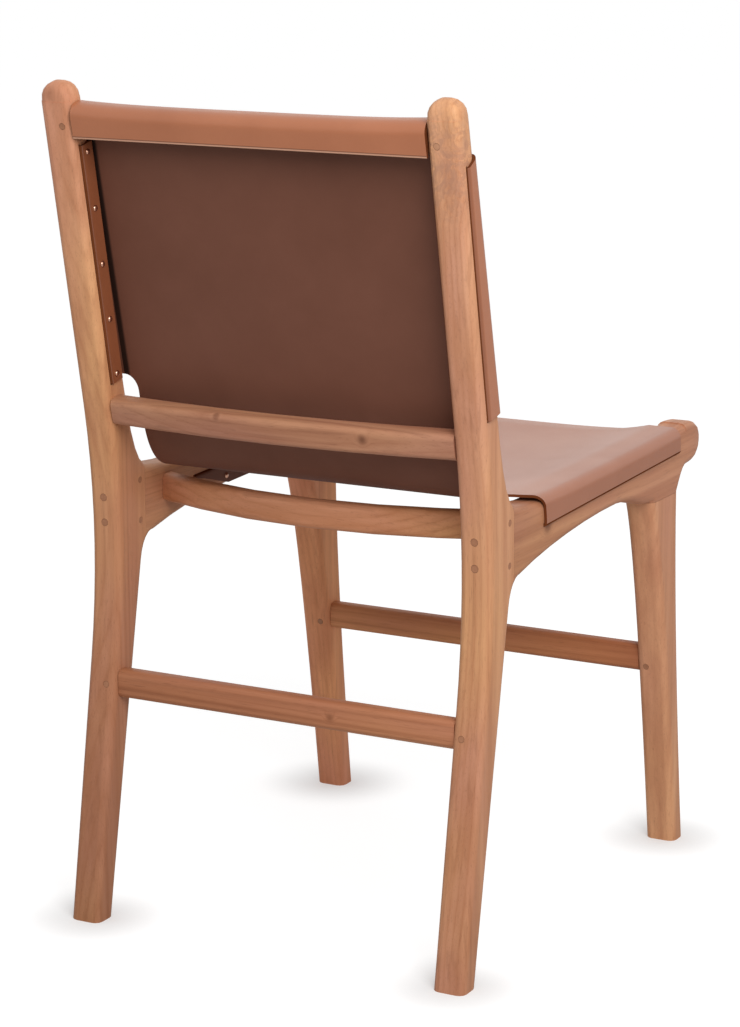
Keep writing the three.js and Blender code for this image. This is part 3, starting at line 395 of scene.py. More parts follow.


# Tints at each board's low and high end: partly its own tone, partly painted light and shade for how the
# light falls, such as darker towards the feet.
PLAIN = ((1.0, 0.95, 0.95), (1.0, 0.95, 0.95))
BOARDS = {
    "rear_leg_right": dict(
        grain="z", heart=(-0.46, 0.27), spacing=0.0060, figure=0.9, seed=3.1,
        tone_and_shade=((0.95, 0.90, 0.88), (1.32, 1.36, 1.42)), burls=[((-0.204, 0.268, 0.80), 0.075)]),
    "rear_leg_left": dict(
        grain="z", heart=(0.12, 0.36), spacing=0.0075, figure=0.7, seed=11.7,
        tone_and_shade=((0.74, 0.67, 0.62), (1.34, 1.32, 1.36)), knots=[((0.214, 0.292, 0.845), 0.02)]),
    "front_leg_right": dict(
        grain="z", heart=(-0.60, -0.20), spacing=0.0080, figure=0.35, seed=5.3,
        tone_and_shade=((1.1, 1.06, 1.18), (1.16, 1.12, 1.24))),
    "front_leg_left": dict(
        grain="z", heart=(0.55, -0.22), spacing=0.0066, figure=0.8, seed=6.9,
        tone_and_shade=((1.23, 1.06, 1.0), (1.46, 1.26, 1.18))),
    "side_rail_right": dict(
        grain="y", heart=(-0.32, -0.36), spacing=0.0066, figure=0.8, seed=8.2,
        tone_and_shade=((1.06, 0.98, 1.14), (0.84, 0.76, 0.76)), knots=[((-0.226, 0.100, 0.428), 0.022)]),
    "side_rail_left": dict(
        grain="y", heart=(0.12, -0.55), spacing=0.0066, figure=0.8, seed=9.4, tone_and_shade=PLAIN),
    # The crest rail's very dark tint is painted shade: its ends sit deep between leather and posts.
    "crest_rail": dict(
        grain="x", heart=(0.70, 0.30), spacing=0.0060, figure=0.8, seed=2.2,
        tone_and_shade=((0.26, 0.16, 0.12), (0.26, 0.16, 0.12))),
    "lumbar_rail": dict(
        grain="x", heart=(-0.44, 0.12), spacing=0.0070, figure=1.0, seed=4.6,
        tone_and_shade=((0.78, 0.72, 0.86), (0.82, 0.77, 0.88)),
        knots=[((-0.10, 0.2485, 0.527), 0.012), ((0.06, 0.2485, 0.535), 0.010)]),
    "rear_seat_rail": dict(
        grain="x", heart=(-0.36, 0.10), spacing=0.0070, figure=1.0, seed=7.7,
        tone_and_shade=((1.14, 1.08, 0.98), (1.12, 1.05, 0.95)), knots=[((0.175, 0.203, 0.432), 0.016)]),
    "front_seat_rail": dict(
        grain="x", heart=(-0.50, -0.30), spacing=0.0070, figure=0.8, seed=1.4, tone_and_shade=PLAIN),
    "rear_stretcher": dict(
        grain="x", heart=(-0.16, 0.22), spacing=0.0062, figure=0.9, seed=12.9,
        tone_and_shade=((1.02, 0.9, 0.88), (0.78, 0.64, 0.60)), knots=[((-0.055, 0.2305, 0.243), 0.012)]),
    "front_stretcher": dict(
        grain="x", heart=(-0.30, -0.10), spacing=0.0062, figure=0.8, seed=14.3,
        tone_and_shade=((0.76, 0.56, 0.46), (1.06, 0.88, 0.76))),
}
for name, board in BOARDS.items():
    low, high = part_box(name)
    axis = "xyz".index(board["grain"])
    finish_wood(nodes[name], teak("teak_" + name, span=(low[axis], high[axis]), **board))
pegs = [name for name in nodes if "_pin_" in name or "_plug_" in name]
for name in pegs:
    finish_wood(nodes[name], pale_peg if name.startswith("crest") and "right" in name else peg_wood)
print("wood:", len(BOARDS), "boards and", len(pegs), "pegs")

# %% [markdown]
# ## The path of the leather
# Back, seat and wings could be separate panels, but on the real chair they are cut from one
# hide and bend into each other, so the sling is one surface. Its first direction runs from
# the hem behind the crest rail, over the rail, down the back, round into the seat and over
# the front rail. Its second direction runs across the chair. Where the sheet has wings, it
# goes on past the inner faces, over the front of the post or the top of the side rail, down
# the outside, in through the slot and out to a short tail with tacks.
# The frame's own measures come first, in metres, because the leather rests on them.

# %% Measures of the frame that the leather follows
# Inner and outer faces of posts and side rails, and the rounding of their edges.
INNER, OUTER, EDGE = 0.192, 0.226, 0.008
LEATHER, GAP = 0.0028, 0.0004
LIFT = GAP + LEATHER / 2
# The post's front and back face: one point of the line, then its run over a rise.
FRONT_DEPTH, FRONT_HEIGHT, FRONT_RUN, FRONT_RISE = 0.15743, 0.5, 0.07977, 0.3575
BACK_DEPTH, BACK_HEIGHT, BACK_RUN, BACK_RISE = 0.176, 0.399, 0.0882, 0.4585
POST_LEAN = math.atan(FRONT_RUN / FRONT_RISE)
BACK_LEAN = math.atan(BACK_RUN / BACK_RISE)
# The measures count from between the legs, so at the end the sheet moves to the frame's place.
NOSE_TIP = 0.336
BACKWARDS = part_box("side_rail_left")[0][1] + NOSE_TIP
print("the leather's middle layer lies", round(LIFT * 1000, 2), "mm off the wood")
print("depth moved by", round(BACKWARDS, 4))


def post_front(z):
    """Depth of the post's front face at height z: one straight line."""
    return FRONT_DEPTH + (z - FRONT_HEIGHT) * FRONT_RUN / FRONT_RISE


def post_back(z):
    """Depth of the post's back face at height z above the knee: one straight line."""
    return BACK_DEPTH + (z - BACK_HEIGHT) * BACK_RUN / BACK_RISE


def beside_post(x, depth, z):
    """A point that lies the given depth behind the post's front face, square to it."""
    return np.stack(np.broadcast_arrays(x, post_front(z) + depth * math.cos(POST_LEAN),
                                        z - depth * math.sin(POST_LEAN)), axis=-1)


def slot_depth(z, setback):
    """How deep behind the front face a slot lies that keeps a setback from the back face."""
    return (post_back(z) - post_front(z) - setback) / (
        math.cos(POST_LEAN) + math.tan(BACK_LEAN) * math.sin(POST_LEAN))


RAIL_DEPTH = np.array([0.1243, 0.080, 0.0, -0.10976, -0.258, -0.292])
RAIL_HEIGHT = np.array([0.459, 0.454, 0.455, 0.4588, 0.464, 0.468])


def rail_top(y):
    """Height of the side rail's top at depth y: cubic pieces through six measured heights,
    each with the slope of the chord between its neighbours."""
    last = len(RAIL_DEPTH) - 1
    below = np.clip(np.arange(last + 1) - 1, 0, last)
    above = np.clip(np.arange(last + 1) + 1, 0, last)
    slope = (RAIL_HEIGHT[above] - RAIL_HEIGHT[below]) / (RAIL_DEPTH[above] - RAIL_DEPTH[below])
    y = np.clip(np.asarray(y, dtype=float), RAIL_DEPTH[-1], RAIL_DEPTH[0])
    i = np.clip(np.searchsorted(-RAIL_DEPTH, -y, side="right") - 1, 0, last - 1)
    span = RAIL_DEPTH[i + 1] - RAIL_DEPTH[i]
    t = (y - RAIL_DEPTH[i]) / span
    rise = RAIL_HEIGHT[i] + (RAIL_HEIGHT[i + 1] - RAIL_HEIGHT[i]) * t * t * (3 - 2 * t)
    return rise + span * ((1 - t) ** 2 * t * slope[i] - (1 - t) * t * t * slope[i + 1])


# %% The middle of the sheet, from hem to front tab
# Crest rail: half sizes of its section, its rounding, its centre and the leather's dip on it.
CREST_D, CREST_U, CREST_ROUND = 0.011, 0.015, 0.009
CREST_DEPTH, CREST_HEIGHT, CREST_DIP = 0.24301, 0.8205, 0.003
# Back: heights of the wings, fall of their top edge, and how far the panel bows rearwards.
WING_TOP, WING_BOTTOM, WING_SLANT, BACK_BOW = 0.805, 0.560, 0.006, 0.008
BACK_HEIGHTS = np.linspace(WING_TOP, WING_BOTTOM, 31)
# Half widths between the wings and over the rails, and the height of the notch's corner.
PANEL, CREST_HALF, NOTCH = 0.178, 0.1915, 0.016
# The turn from back to seat: heights of its start and end, and the depth where it ends.
TURN_START, TURN_HEIGHT, TURN_END = 0.514, 0.4595, 0.105
# Seat: its front, its sag, its lift at the back and the rounding where the wings begin.
SEAT_FRONT, SEAT_SAG, SEAT_LIFT, SWING = 0.262, 0.009, 0.0035, 0.014
# Depth where each seat wing begins, left and right, and the slant of its end.
WING_BACK = {1: 0.044, -1: 0.071}
SLANT_UP, SLANT_ACROSS = 0.006, 0.017
CORNER = SLANT_UP + SLANT_ACROSS
# Front rail: top, rise of the top to its ends, rounding, and depths of tab and front face.
FRONT_RAIL_TOP, FRONT_RAIL_RISE, TAB_ROUND = 0.452, 0.0055, 0.0065
TAB_BACK, TAB_FRONT = 0.264, 0.286


def bow(x):
    """One in the middle of the chair and none at the inner faces, as a parabola."""
    return 1 - (x / INNER) ** 2


def hollow(x):
    """One in the middle and none at the inner faces, with the fall kept close to the edges."""
    return 1 - np.abs(x / INNER) ** 4


def back_point(x, z):
    """The back panel: the plane of the posts' fronts, bowed rearwards by a sitter's back."""
    t = (WING_TOP - z) / (WING_TOP - TURN_HEIGHT)
    point = beside_post(x, -LIFT, z)
    point[..., 1] += BACK_BOW * bow(x) * 4 * t * (1 - t)
    return point


def wing_top(y):
    """Height of the middle layer on the side rail, lifted a little towards the back."""
    share = np.clip((y - RAIL_DEPTH[3]) / (WING_BACK[-1] - RAIL_DEPTH[3]), 0, 1)
    return rail_top(y) + LIFT + SEAT_LIFT * share


def seat_height(x, y):
    """The seat: level with the rails at its sides, sagging in between, and falling in the
    middle of its front to the dished front rail."""
    along = np.clip((TURN_END - y) / (TURN_END + SEAT_FRONT), 0, 1)
    edge = TURN_HEIGHT + (wing_top(y) - TURN_HEIGHT) * np.clip(along * 8, 0, 1)
    front_drop = (wing_top(-SEAT_FRONT) - (FRONT_RAIL_TOP + LIFT)) * along * along
    return edge - hollow(x) * (front_drop + SEAT_SAG * 4 * along * (1 - along))


def turned(x, depth, rise, y, z, lean):
    """Points of a rail's section, turned back by its lean and moved to its centre."""
    return np.stack(np.broadcast_arrays(x, y + depth * math.cos(lean) + rise * math.sin(lean),
                                        z - depth * math.sin(lean) + rise * math.cos(lean)), axis=-1)


def round_corner(centre, radius, start, steps):
    """Points of a quarter circle, as (across, up)."""
    angle = start + np.linspace(0, math.pi / 2, steps)
    return np.stack([centre[0] + radius * np.cos(angle), centre[1] + radius * np.sin(angle)], axis=-1)


ACROSS = np.linspace(-1, 1, 45)


def half_width(left, right):
    """Columns of one row: shares from -1 to 1 times the half width on their own side."""
    return np.where(ACROSS > 0, ACROSS * left, ACROSS * right)


print("crest section", 2 * CREST_D, "by", 2 * CREST_U, "m; wings from", WING_TOP, "to", WING_BOTTOM, "m")

# %% Rows over the crest rail and down the back
def crest_rows():
    """Over the crest rail: down its front, with two rounded corners, read from the back hem."""
    corners = [round_corner((side * (CREST_D - CREST_ROUND), CREST_U - CREST_ROUND),
                            CREST_ROUND + LIFT, start, 9)
               for side, start in ((1, 0), (-1, math.pi / 2))]
    levels = (-CREST_U, -0.010, -0.002)
    section = np.concatenate([[[CREST_D + LIFT, u] for u in levels], *corners,
                              [[-CREST_D - LIFT, u] for u in levels[::-1]]])
    x = half_width(CREST_HALF, CREST_HALF)
    dip = np.where(section[:, 1] > 0, CREST_DIP, 0)[:, None] * hollow(x)[None, :]
    return turned(x[None, :], section[:, 0][:, None], section[:, 1][:, None] - dip,
                  CREST_DEPTH, CREST_HEIGHT, POST_LEAN)


def back_rows():
    """Between the posts, then the rounded inner corners of the notch under the wings."""
    x = half_width(INNER, INNER)
    wings = back_point(x[None, :], BACK_HEIGHTS[:, None])
    angle = np.linspace(0, math.pi / 2, 8)[1:]
    widths = PANEL + (INNER - PANEL) * (1 - np.sin(angle))
    drops = WING_BOTTOM - NOTCH * (1 - np.cos(angle))
    notch = np.stack([back_point(half_width(w, w), z) for w, z in zip(widths, drops)])
    return wings, notch


def turn_rows():
    """Round from the back into the seat: a parabola from the panel to the seat's height."""
    x = half_width(PANEL, PANEL)
    heights = np.linspace(WING_BOTTOM - NOTCH, TURN_START, 5)[1:-1]
    down = back_point(x[None, :], heights[:, None])
    start = back_point(x, TURN_START)
    t = np.linspace(0, 1, 22)[:, None]
    low = post_front(TURN_HEIGHT) - LIFT
    y = (1 - t) ** 2 * start[None, :, 1] + 2 * t * (1 - t) * low + t * t * TURN_END
    z = (1 - t) ** 2 * TURN_START + (1 - (1 - t) ** 2) * TURN_HEIGHT
    return np.concatenate([down, np.stack(np.broadcast_arrays(x[None, :], y, z), axis=-1)])


crest_part, (wings_part, notch_part), turn_part = crest_rows(), back_rows(), turn_rows()
print("rows:", len(crest_part), "crest,", len(wings_part), "back,", len(notch_part), "notch,",
      len(turn_part), "turn")

# %% Rows of the seat and its front tab
def wing_back(x):
    """Depth where the seat's wings begin, which differs a little from one side to the other."""
    return WING_BACK[-1] + (WING_BACK[1] - WING_BACK[-1]) * (x + INNER) / (2 * INNER)


def approach_rows():
    """From the turn to the wings: the side edges swing outwards in a quarter circle."""
    rows = []
    for share in np.concatenate([np.linspace(0, 0.7, 6)[1:], np.linspace(0.75, 0.99, 7)]):
        widths = []
        for side in (1, -1):
            room_left = TURN_END - (WING_BACK[side] + CORNER)
            radius = min(SWING, room_left)
            left_over = np.clip(1 - (1 - share) * room_left / radius, 0, 1)
            widths.append(PANEL + (INNER - PANEL) * (1 - math.sqrt(1 - left_over ** 2)))
        x = half_width(*widths)
        y = TURN_END + (wing_back(x) + CORNER - TURN_END) * share
        rows.append(np.stack([x, y, seat_height(x, y)], axis=-1))
    return np.stack(rows)


SEAT_SHARES = np.linspace(0, 1, 44)


def seat_rows():
    """The seat between the side rails, from the back of the wings to their front."""
    x = half_width(INNER, INNER)[None, :]
    start = wing_back(x) + CORNER
    y = start + (-SEAT_FRONT - start) * SEAT_SHARES[:, None]
    return np.stack(np.broadcast_arrays(x, y, seat_height(x, y)), axis=-1)


def tab_rows():
    """Over the dished front rail and down its face, to the row of tacks."""
    corner = round_corner((TAB_ROUND - TAB_FRONT, -TAB_ROUND), TAB_ROUND + LIFT, math.pi / 2, 9)
    section = np.concatenate([[[-TAB_BACK - TAB_ROUND, LIFT]], corner,
                              [[-TAB_FRONT - LIFT, -TAB_ROUND - drop] for drop in (0.005, 0.010, 0.014)]])
    x = half_width(CREST_HALF, CREST_HALF)[None, :]
    height = FRONT_RAIL_TOP + FRONT_RAIL_RISE * (1 - hollow(x)) + section[:, 1][:, None]
    return np.stack(np.broadcast_arrays(x, section[:, 0][:, None], height), axis=-1)


seat_part, tab_part = seat_rows(), tab_rows()
middle = np.concatenate([crest_part, wings_part, notch_part, turn_part, approach_rows(), seat_part,
                         tab_part])
print("middle of the sheet:", middle.shape[0], "rows by", middle.shape[1], "columns")

# %% [markdown]
# ## The wings of the sheet
# A wing is the same strip of stations in every row: over the board, round its outer edge,
# down the outer face, a small bend into the slot, through the board, a second bend and the
# tail. On the posts the tail turns forwards, and on the side rails it turns down. There its
# end is cut on a slant, which is strongest at the back.

# %% Stations of a wing
# The post's slot keeps a setback from its back face; the side rail's lies at a drop from its
# top, at a height that rises from back to front. Then come the tails and the slant of their cut.
POST_SETBACK, POST_TAIL = 0.010, 0.0165
KERF_DROP, KERF_BACK, KERF_FRONT = 0.023, 0.4295, 0.441
RAIL_TAIL, TAIL_SLANT = 0.020, 0.070
# Columns of a wing, counted with the shared one: last before the slot and first after it.
MOUTH_OUT, MOUTH_IN = 21, 29
# The dark matt leather of a slot's mouth, painted shade in the crease, begins at its own
# column on a post and on a side rail.
MATT_POST, MATT_RAIL, MATT_END = 21, 18, 30


def wing_stations(slot, tail):
    """Points (across, depth below the face) from the inner face round to the end of the tail.
    slot, its depth below the face, is one value a row; the result has the rows first."""
    slot = np.atleast_1d(slot).astype(float)
    side = 1 if tail > 0 else -1
    rows = len(slot)
    flat = np.stack([np.linspace(INNER, OUTER - EDGE, 5)[1:-1], np.full(3, -LIFT)], axis=-1)
    edge = round_corner((OUTER - EDGE, EDGE), EDGE + LIFT, -math.pi / 2, 9)
    over = np.concatenate([flat, edge])
    over = np.broadcast_to(over, (rows, *over.shape))
    share = np.linspace(0, 1, 7)[1:-1]
    face = np.stack([np.full((rows, 5), OUTER + LIFT),
                     EDGE + (slot[:, None] - LIFT - EDGE) * share], axis=-1)
    angle = np.linspace(0, math.pi / 2, 5)
    outer_bend = np.stack([np.broadcast_to(OUTER + LIFT * np.cos(angle), (rows, 5)),
                           slot[:, None] - LIFT + LIFT * np.sin(angle)], axis=-1)
    inner_angle = -side * (math.pi / 2 + angle)
    inner_bend = np.stack([np.broadcast_to(INNER + LIFT * np.cos(inner_angle), (rows, 5)),
                           slot[:, None] + side * LIFT + LIFT * np.sin(inner_angle)], axis=-1)
    across = inner_bend[:, :1] - outer_bend[:, -1:]
    through = outer_bend[:, -1:] + across * share[None, :, None]
    down = inner_bend[:, -1:, 1] + (tail - side * LIFT) * np.linspace(0, 1, 6)[1:]
    tail_run = np.stack([np.full((rows, 5), INNER - LIFT), down], axis=-1)
    return np.concatenate([over, face, outer_bend, through, inner_bend, tail_run], axis=1)


print("a wing has", wing_stations(KERF_DROP, RAIL_TAIL).shape[1], "stations")

# %% Wings round the posts and the side rails
def post_wing(side):
    """The wing round one post, for the same heights as the rows of the back. Its top edge
    falls a little from the post's front to the slot, and lower rows follow less and less."""
    slot = slot_depth(BACK_HEIGHTS, POST_SETBACK)
    stations = wing_stations(slot, -POST_TAIL)
    away = np.clip(stations[..., 1] / slot[:, None], 0, 1)
    away[:, MOUTH_OUT + 1:] = 1
    fall = WING_SLANT * np.linspace(1, 0, len(slot))[:, None] * away
    return beside_post(side * stations[..., 0], stations[..., 1], BACK_HEIGHTS[:, None] - fall)


def kerf_height(y):
    """Height of the slot along the side rail: it rises gently towards the front."""
    return KERF_BACK + (WING_BACK[-1] - y) / (WING_BACK[-1] + SEAT_FRONT) * (KERF_FRONT - KERF_BACK)


def rail_wing(side):
    """The wing over one side rail. Its back end slants forwards across the rail, then curves
    down, and the cut of its tail leans forwards by a share that is largest at the back."""
    plain = wing_stations(KERF_DROP, RAIL_TAIL)[0]
    down = np.clip(plain[:, 1] / KERF_DROP, 0, 1)
    across = np.clip((OUTER - plain[:, 0]) / (OUTER - INNER), 0, 1)
    past_slot = np.arange(len(plain)) >= len(plain) - 5
    start = wing_back(side * INNER) + (1 - down) ** 2 * (SLANT_UP + SLANT_ACROSS * across)
    y = start[None, :] + (-SEAT_FRONT - start[None, :]) * SEAT_SHARES[:, None]
    tail_share = np.where(past_slot, np.clip((plain[:, 1] - KERF_DROP) / RAIL_TAIL, 0, 1), 0)
    slant = TAIL_SLANT / (WING_BACK[-1] + SEAT_FRONT) * (1 - SEAT_SHARES[:, None]) * tail_share[None, :]
    y = y + (-SEAT_FRONT - y) * slant
    depth = wing_top(y) - LIFT - kerf_height(y)
    column = np.arange(len(plain))
    station = wing_stations(depth.ravel(), RAIL_TAIL).reshape(*y.shape, -1, 2)[:, column, column]
    return np.stack([side * station[..., 0], y, wing_top(y) - LIFT - station[..., 1]], axis=-1)


print("wings:", post_wing(1).shape[:2], "points on a post,", rail_wing(1).shape[:2], "on a side rail")

# %% Join the patches into one sheet
def grid_faces(rows, columns, first):
    """Four-cornered faces of a grid whose points are numbered row by row from first."""
    index = first + np.arange(rows * columns).reshape(rows, columns)
    corners = index[:-1, :-1], index[:-1, 1:], index[1:, 1:], index[1:, :-1]
    return np.stack(corners, axis=-1).reshape(-1, 4)


MARKS = "slot_distance", "rail_slot_distance", "tail_distance", "hem_distance", "post_distance"
FAR = 0.05


def from_mouth(wing):
    """How far each point of a wing lies from the slot's mouth, along the leather and outside
    the slot: the sum of the steps up to the mouth, or after it for the tail; none inside."""
    steps = np.linalg.norm(np.diff(wing, axis=1), axis=-1)
    along = np.concatenate([np.zeros((len(wing), 1)), np.cumsum(steps, axis=1)], axis=1)
    before = along[:, MOUTH_OUT][:, None] - along
    after = along - along[:, MOUTH_IN][:, None]
    return np.minimum(np.maximum(np.maximum(before, after), 0), FAR)


def sheet_patches():
    """The middle grid and four wings, each wing beginning with the column that it shares, as
    (points, mirrored, first matt column). Five marks go with the points, as distances up to
    FAR: from a slot, a side rail's slot, a tail, the hem and a post."""
    back_first = len(crest_part)
    back_last = back_first + len(wings_part)
    seat_first = len(middle) - len(tab_part) - len(seat_part)
    patches = [(middle, False, middle.shape[1])]
    marks = {mark: [np.full(middle.shape[:2], FAR)] for mark in MARKS}
    hem = np.linalg.norm(middle[:back_first] - middle[:1], axis=-1)
    marks["hem_distance"][0][:back_first // 2] = hem[:back_first // 2]
    # The distance from the posts carries the painted shade on the panel beside them.
    from_post = INNER - np.abs(middle[back_first:back_last, :, 0])
    marks["post_distance"][0][back_first:back_last] = from_post
    for side, column in ((1, -1), (-1, 0)):
        for first, wing, matt in ((back_first, post_wing(side), MATT_POST),
                                  (seat_first, rail_wing(side), MATT_RAIL)):
            shared = middle[first:first + len(wing), column][:, None]
            whole = np.concatenate([shared, wing], axis=1)
            patches.append((whole, side < 0, matt))
            none = np.full(whole.shape[:2], FAR)
            on_tail = np.arange(whole.shape[1])[None, :] >= MOUTH_IN
            marks["slot_distance"].append(from_mouth(whole))
            marks["rail_slot_distance"].append(from_mouth(whole) if first == seat_first else none)
            marks["tail_distance"].append(np.where(on_tail, 0, none))
            marks["hem_distance"].append(none)
            marks["post_distance"].append(none)
    return patches, {mark: np.concatenate([grid.reshape(-1) for grid in marks[mark]]) for mark in MARKS}


def sheet_mesh(name):
    """One mesh of all patches, and its area. Points that coincide are joined, and the faces in
    a slot's mouth get the third material, the dark matt cut edge, as painted shade in the crease."""
    patches, marks = sheet_patches()
    points, faces, kinds, count = [], [], [], 0
    for grid, mirrored, matt in patches:
        quads = grid_faces(*grid.shape[:2], count)
        column = np.tile(np.arange(grid.shape[1] - 1), grid.shape[0] - 1)
        # Faces in a slot's mouth take the dark matt cut-edge leather: painted shade in the crease.
        kinds.append(np.where((column >= matt) & (column < MATT_END), 2, 0))
        faces.append(quads if mirrored else quads[:, ::-1])
        points.append(grid.reshape(-1, 3))
        count += grid.shape[0] * grid.shape[1]
    points, faces = np.concatenate(points), np.concatenate(faces)
    _, first_seen, same = np.unique(np.round(points * 1e6).astype(np.int64), axis=0,
                                    return_index=True, return_inverse=True)
    faces = same.reshape(-1)[faces]
    points = points[first_seen] + np.array([0, BACKWARDS, 0])
    mesh = bpy.data.meshes.new(name)
    mesh.from_pydata(points.tolist(), [], faces.tolist())
    mesh.validate()
    mesh.polygons.foreach_set("use_smooth", np.ones(len(mesh.polygons), dtype=bool))
    mesh.polygons.foreach_set("material_index", np.concatenate(kinds).astype(np.int32))
    for mark, values in marks.items():
        attribute = mesh.attributes.new(mark, "FLOAT", "POINT")
        attribute.data.foreach_set("value", values[first_seen].astype(np.float32))
    corners = points[faces]
    doubled = np.cross(corners[:, 2] - corners[:, 0], corners[:, 3] - corners[:, 1])
    return mesh, float(0.5 * np.linalg.norm(doubled, axis=1).sum())


sling_mesh, sling_area = sheet_mesh("sling")
normals = np.zeros((len(sling_mesh.polygons), 3))
sling_mesh.polygons.foreach_get("normal", normals.reshape(-1))
centres = np.zeros((len(sling_mesh.polygons), 3))
sling_mesh.polygons.foreach_get("center", centres.reshape(-1))
on_seat = (np.abs(centres[:, 0]) < 0.1) & (np.abs(centres[:, 1]) < 0.1)
print("sheet:", len(sling_mesh.polygons), "faces, area", round(sling_area, 4), "m2, seat faces up:",
      bool(normals[on_seat, 2].mean() > 0))

# %% [markdown]
# ## Saddle leather
# One hide has three faces. The grain side is tan, finely pored and slightly glossy. The
# flesh side is dark brown, dense and dull, as seen on the back of the panel. The cut edge is
# darkest, because it is dyed and burnished. Solidify gives the sheet its thickness and can
# put a different material on each of the three. Edge Split keeps the cut edge crisp.
# The leather also carries painted shade: a dark line at the mouth of a slot, where the bend
# also takes the dark matt cut-edge leather; a near-black band on the panel beside the posts;
# and a little over the outer face and edge of the side rails. The tails are darker. At the hem
# the edge is bevelled, which shows as a pale line, partly a painted highlight, above a dark
# line of painted shade. The sheet carries its distance from these places as attributes, and
# the materials read them.

# %% Leather materials
def near(tree, mark, full, none):
    """A share that is one where the named distance is at most full and falls to nothing at none."""
    distance = add_node(tree, "ShaderNodeAttribute", {"attribute_name": mark}).outputs["Fac"]
    return map_range(tree, distance, full, none)


def leather(name, base, tone, rough, pebble, cloud_share, shine, stains_and_shades=()):
    """A hide's surface: slow clouds between two tones, small pebbles as bump, some shine.
    Each entry of the stains is (mark, full, none, colour, share): the colour laid on near the
    marked place; most of them are painted shade."""
    material, tree, shader = new_material(name)
    place = add_node(tree, "ShaderNodeTexCoord").outputs["Object"]
    cloud, speck = noise(tree, place, 9, 4, 0.6), noise(tree, place, 420, 2, 0.6)
    cells = add_node(tree, "ShaderNodeTexVoronoi", {"feature": "DISTANCE_TO_EDGE"},
                     {"Vector": place, "Scale": pebble})
    clouds = ramp(tree, cloud, ((0.34, 0.0), (0.68, 1.0)))
    colour = mix_colours(tree, maths(tree, "MULTIPLY", clouds, cloud_share), base, tone)
    colour = mix_colours(tree, maths(tree, "MULTIPLY", speck, 0.22), colour, tone)
    for mark, full, none, laid_colour, most in stains_and_shades:
        share = maths(tree, "MULTIPLY", near(tree, mark, full, none), most)
        colour = mix_colours(tree, share, colour, laid_colour)
    dull = maths(tree, "MULTIPLY_ADD", cloud, 0.14, rough - 0.07)
    pebbles = maths(tree, "MINIMUM", maths(tree, "MULTIPLY", cells.outputs["Distance"], 6), 1.0)
    height = maths(tree, "ADD", pebbles, maths(tree, "MULTIPLY", speck, 0.6))
    add_bump(tree, height, strength=0.22, distance=0.00018)
    feed(tree, shader, {"Base Color": colour, "Roughness": dull, "Specular IOR Level": shine})
    return material


# On the grain side: painted shade over the side rails' outer face and edge; the tails darker; a painted
# shade line at a slot's mouth; at the hem a dark painted shade line and a pale line for the bevelled
# edge, partly a painted highlight.
grain_side = leather("leather_grain_side", linear(184, 114, 77), linear(164, 97, 62),
                     rough=0.36, pebble=950, cloud_share=0.55, shine=0.5,
                     stains_and_shades=[("rail_slot_distance", 0.024, 0.046, linear(148, 82, 46), 0.42),
                             ("tail_distance", 0.001, 0.002, linear(128, 70, 42), 0.7),
                             ("slot_distance", 0.0002, 0.0032, linear(100, 56, 36), 0.55),
                             ("hem_distance", 0.0020, 0.0027, linear(104, 60, 38), 0.7),
                             ("hem_distance", 0.0012, 0.0016, linear(198, 148, 120), 1.0)])
wax = grain_side.node_tree.nodes["Principled BSDF"].inputs
wax["Coat Weight"].default_value = 0.31
wax["Coat Roughness"].default_value = 0.3
# The near-black band on the flesh side beside the posts is painted shade.
flesh_side = leather("leather_flesh_side", linear(119, 76, 60), linear(104, 64, 49),
                     rough=0.62, pebble=1400, cloud_share=0.6, shine=0.2,
                     stains_and_shades=[("post_distance", 0.004, 0.008, linear(24, 11, 7), 0.93)])
# The cut-edge leather is the rim's own colour; on the bend at a slot's mouth it serves as painted shade.
cut_edge = leather("leather_cut_edge", linear(122, 68, 40), linear(92, 50, 29),
                   rough=0.9, pebble=1800, cloud_share=0.6, shine=0.0)
print("leather:", grain_side.name, flesh_side.name, cut_edge.name)

# %% The sling
CUT_ANGLE = math.radians(50)

sling = bpy.data.objects.new("leather_sheet", sling_mesh)
bpy.context.scene.collection.objects.link(sling)
for material in (grain_side, flesh_side, cut_edge):
    sling_mesh.materials.append(material)
wall = sling.modifiers.new("thickness", "SOLIDIFY")
wall.thickness = LEATHER
wall.offset = 0
wall.use_even_offset = True
wall.material_offset = 1
wall.material_offset_rim = 2
cut = sling.modifiers.new("cut_edges", "EDGE_SPLIT")
cut.split_angle = CUT_ANGLE
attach(sling, "root")
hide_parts("leather_sling")
print("sling: flat 0.60 by 0.96 m, of which", round(sling_area / (0.60 * 0.96), 3), "is leather")

# %% [markdown]
# ## Brass tacks
# Each tack is a small domed nail. A squeezed ball could stand for it, but a nail has a flat
# underside and a shank. So it is a profile turned round its own axis, and on the dome the
# radius falls and the height rises along a quarter ellipse. The dome stands on the spot of
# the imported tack, which gives its place and the way it faces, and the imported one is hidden.
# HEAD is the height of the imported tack's head.

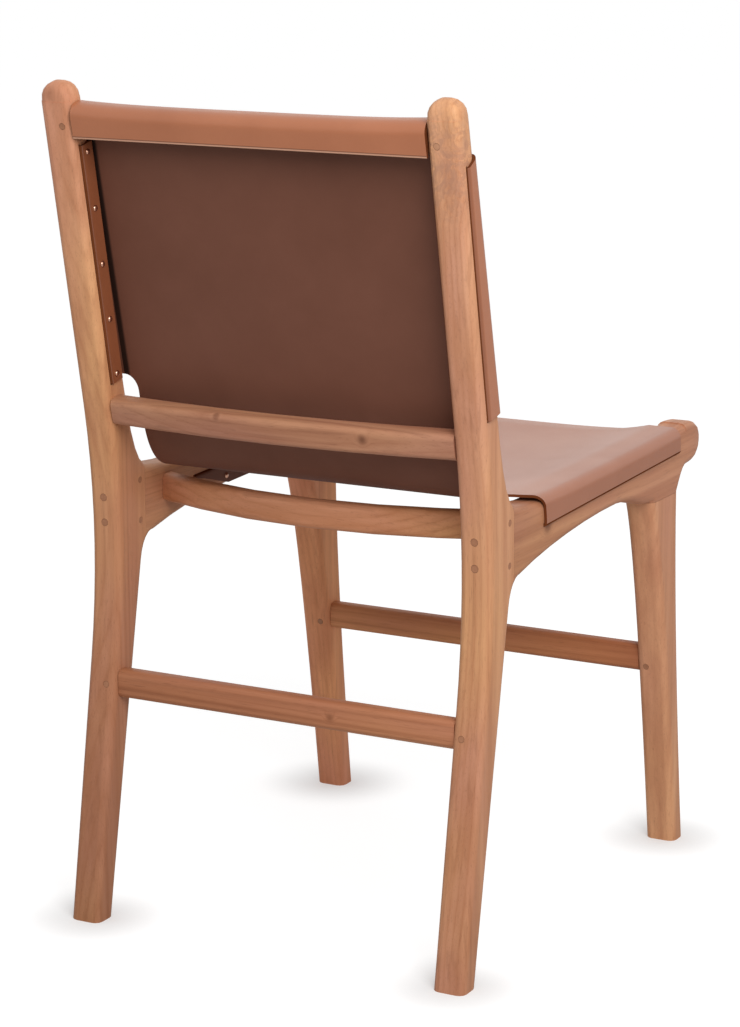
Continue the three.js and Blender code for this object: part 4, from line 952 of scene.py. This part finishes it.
# %% Shape of a tack
def turned_dome(centre, way, radius=0.0032, rise=0.0019, shank=0.008, sides=28):
    """A dome and its shank turned round an axis. The profile goes from the tip of the shank,
    under the head and over the dome: radius r cos a, height h sin a, for a from 0 to 90 degrees."""
    angle = np.linspace(0, math.pi / 2, 9)
    nail = [[0.00002, -shank], [0.0007, -shank + 0.0012], [0.0009, -0.00005], [radius * 0.97, -0.00005]]
    dome = np.stack([np.maximum(radius * np.cos(angle), 0.00002), rise * np.sin(angle)], axis=-1)
    profile = np.concatenate([nail, dome])
    round_by = np.linspace(0, 2 * math.pi, sides, endpoint=False)
    side_1 = np.cross(way, [0.0, 0.0, 1.0])
    side_2 = np.cross(way, side_1)
    ring = np.cos(round_by)[:, None] * side_1 + np.sin(round_by)[:, None] * side_2
    points = centre + profile[:, 0, None, None] * ring[None] + profile[:, 1, None, None] * np.asarray(way)
    rows = len(profile)
    index = np.arange(rows * sides).reshape(rows, sides)
    nxt = np.roll(index, -1, axis=1)
    quads = np.stack([index[:-1], nxt[:-1], nxt[1:], index[1:]], axis=-1).reshape(-1, 4)
    return points.reshape(-1, 3), quads, [index[0].tolist()[::-1], index[-1].tolist()]


print("a tack:", len(turned_dome(np.zeros(3), (1.0, 0.0, 0.0))[0]), "points")

# %% Tacks in place
HEAD = 0.0018
brass, tree, shader = new_material("aged_brass")
tarnish = noise(tree, add_node(tree, "ShaderNodeTexCoord").outputs["Object"], 700, 3)
feed(tree, shader, {
    "Metallic": 1, "Roughness": maths(tree, "MULTIPLY_ADD", tarnish, 0.2, 0.14),
    "Base Color": mix_colours(tree, tarnish, linear(240, 196, 172), linear(196, 140, 112))})

tack_nodes = sorted(name for name in nodes if "_tack_" in name)
for name in tack_nodes:
    low, high = (np.array(corner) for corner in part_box(name))
    middle_of = (low + high) / 2
    if name.startswith("front"):
        way = np.array([0.0, -1.0, 0.0])
        head = np.array([middle_of[0], low[1] + HEAD, middle_of[2]])
    else:
        inward = -1.0 if "left" in name else 1.0
        edge_x = low[0] if inward < 0 else high[0]
        way = np.array([inward, 0.0, 0.0])
        head = np.array([edge_x - inward * HEAD, middle_of[1], middle_of[2]])
    points, quads, caps = turned_dome(head, way)
    mesh = bpy.data.meshes.new("dome_" + name)
    mesh.from_pydata(points.tolist(), [], quads.tolist() + caps)
    mesh.polygons.foreach_set("use_smooth", np.ones(len(mesh.polygons), dtype=bool))
    piece = bpy.data.objects.new("dome_" + name, mesh)
    bpy.context.scene.collection.objects.link(piece)
    mesh.materials.append(brass)
    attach(piece, "root")
    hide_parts(name)

# One dome stands for all: a face looks outwards if its normal points away from the head's foot.
corner, turn_1, turn_2 = points[quads[:, 0]], points[quads[:, 1]], points[quads[:, 2]]
outwards = np.einsum("ij,ij->i", corner - head, np.cross(turn_1 - corner, turn_2 - corner)).sum() > 0
print("tacks:", len(tack_nodes), "domes; outwards:", bool(outwards))
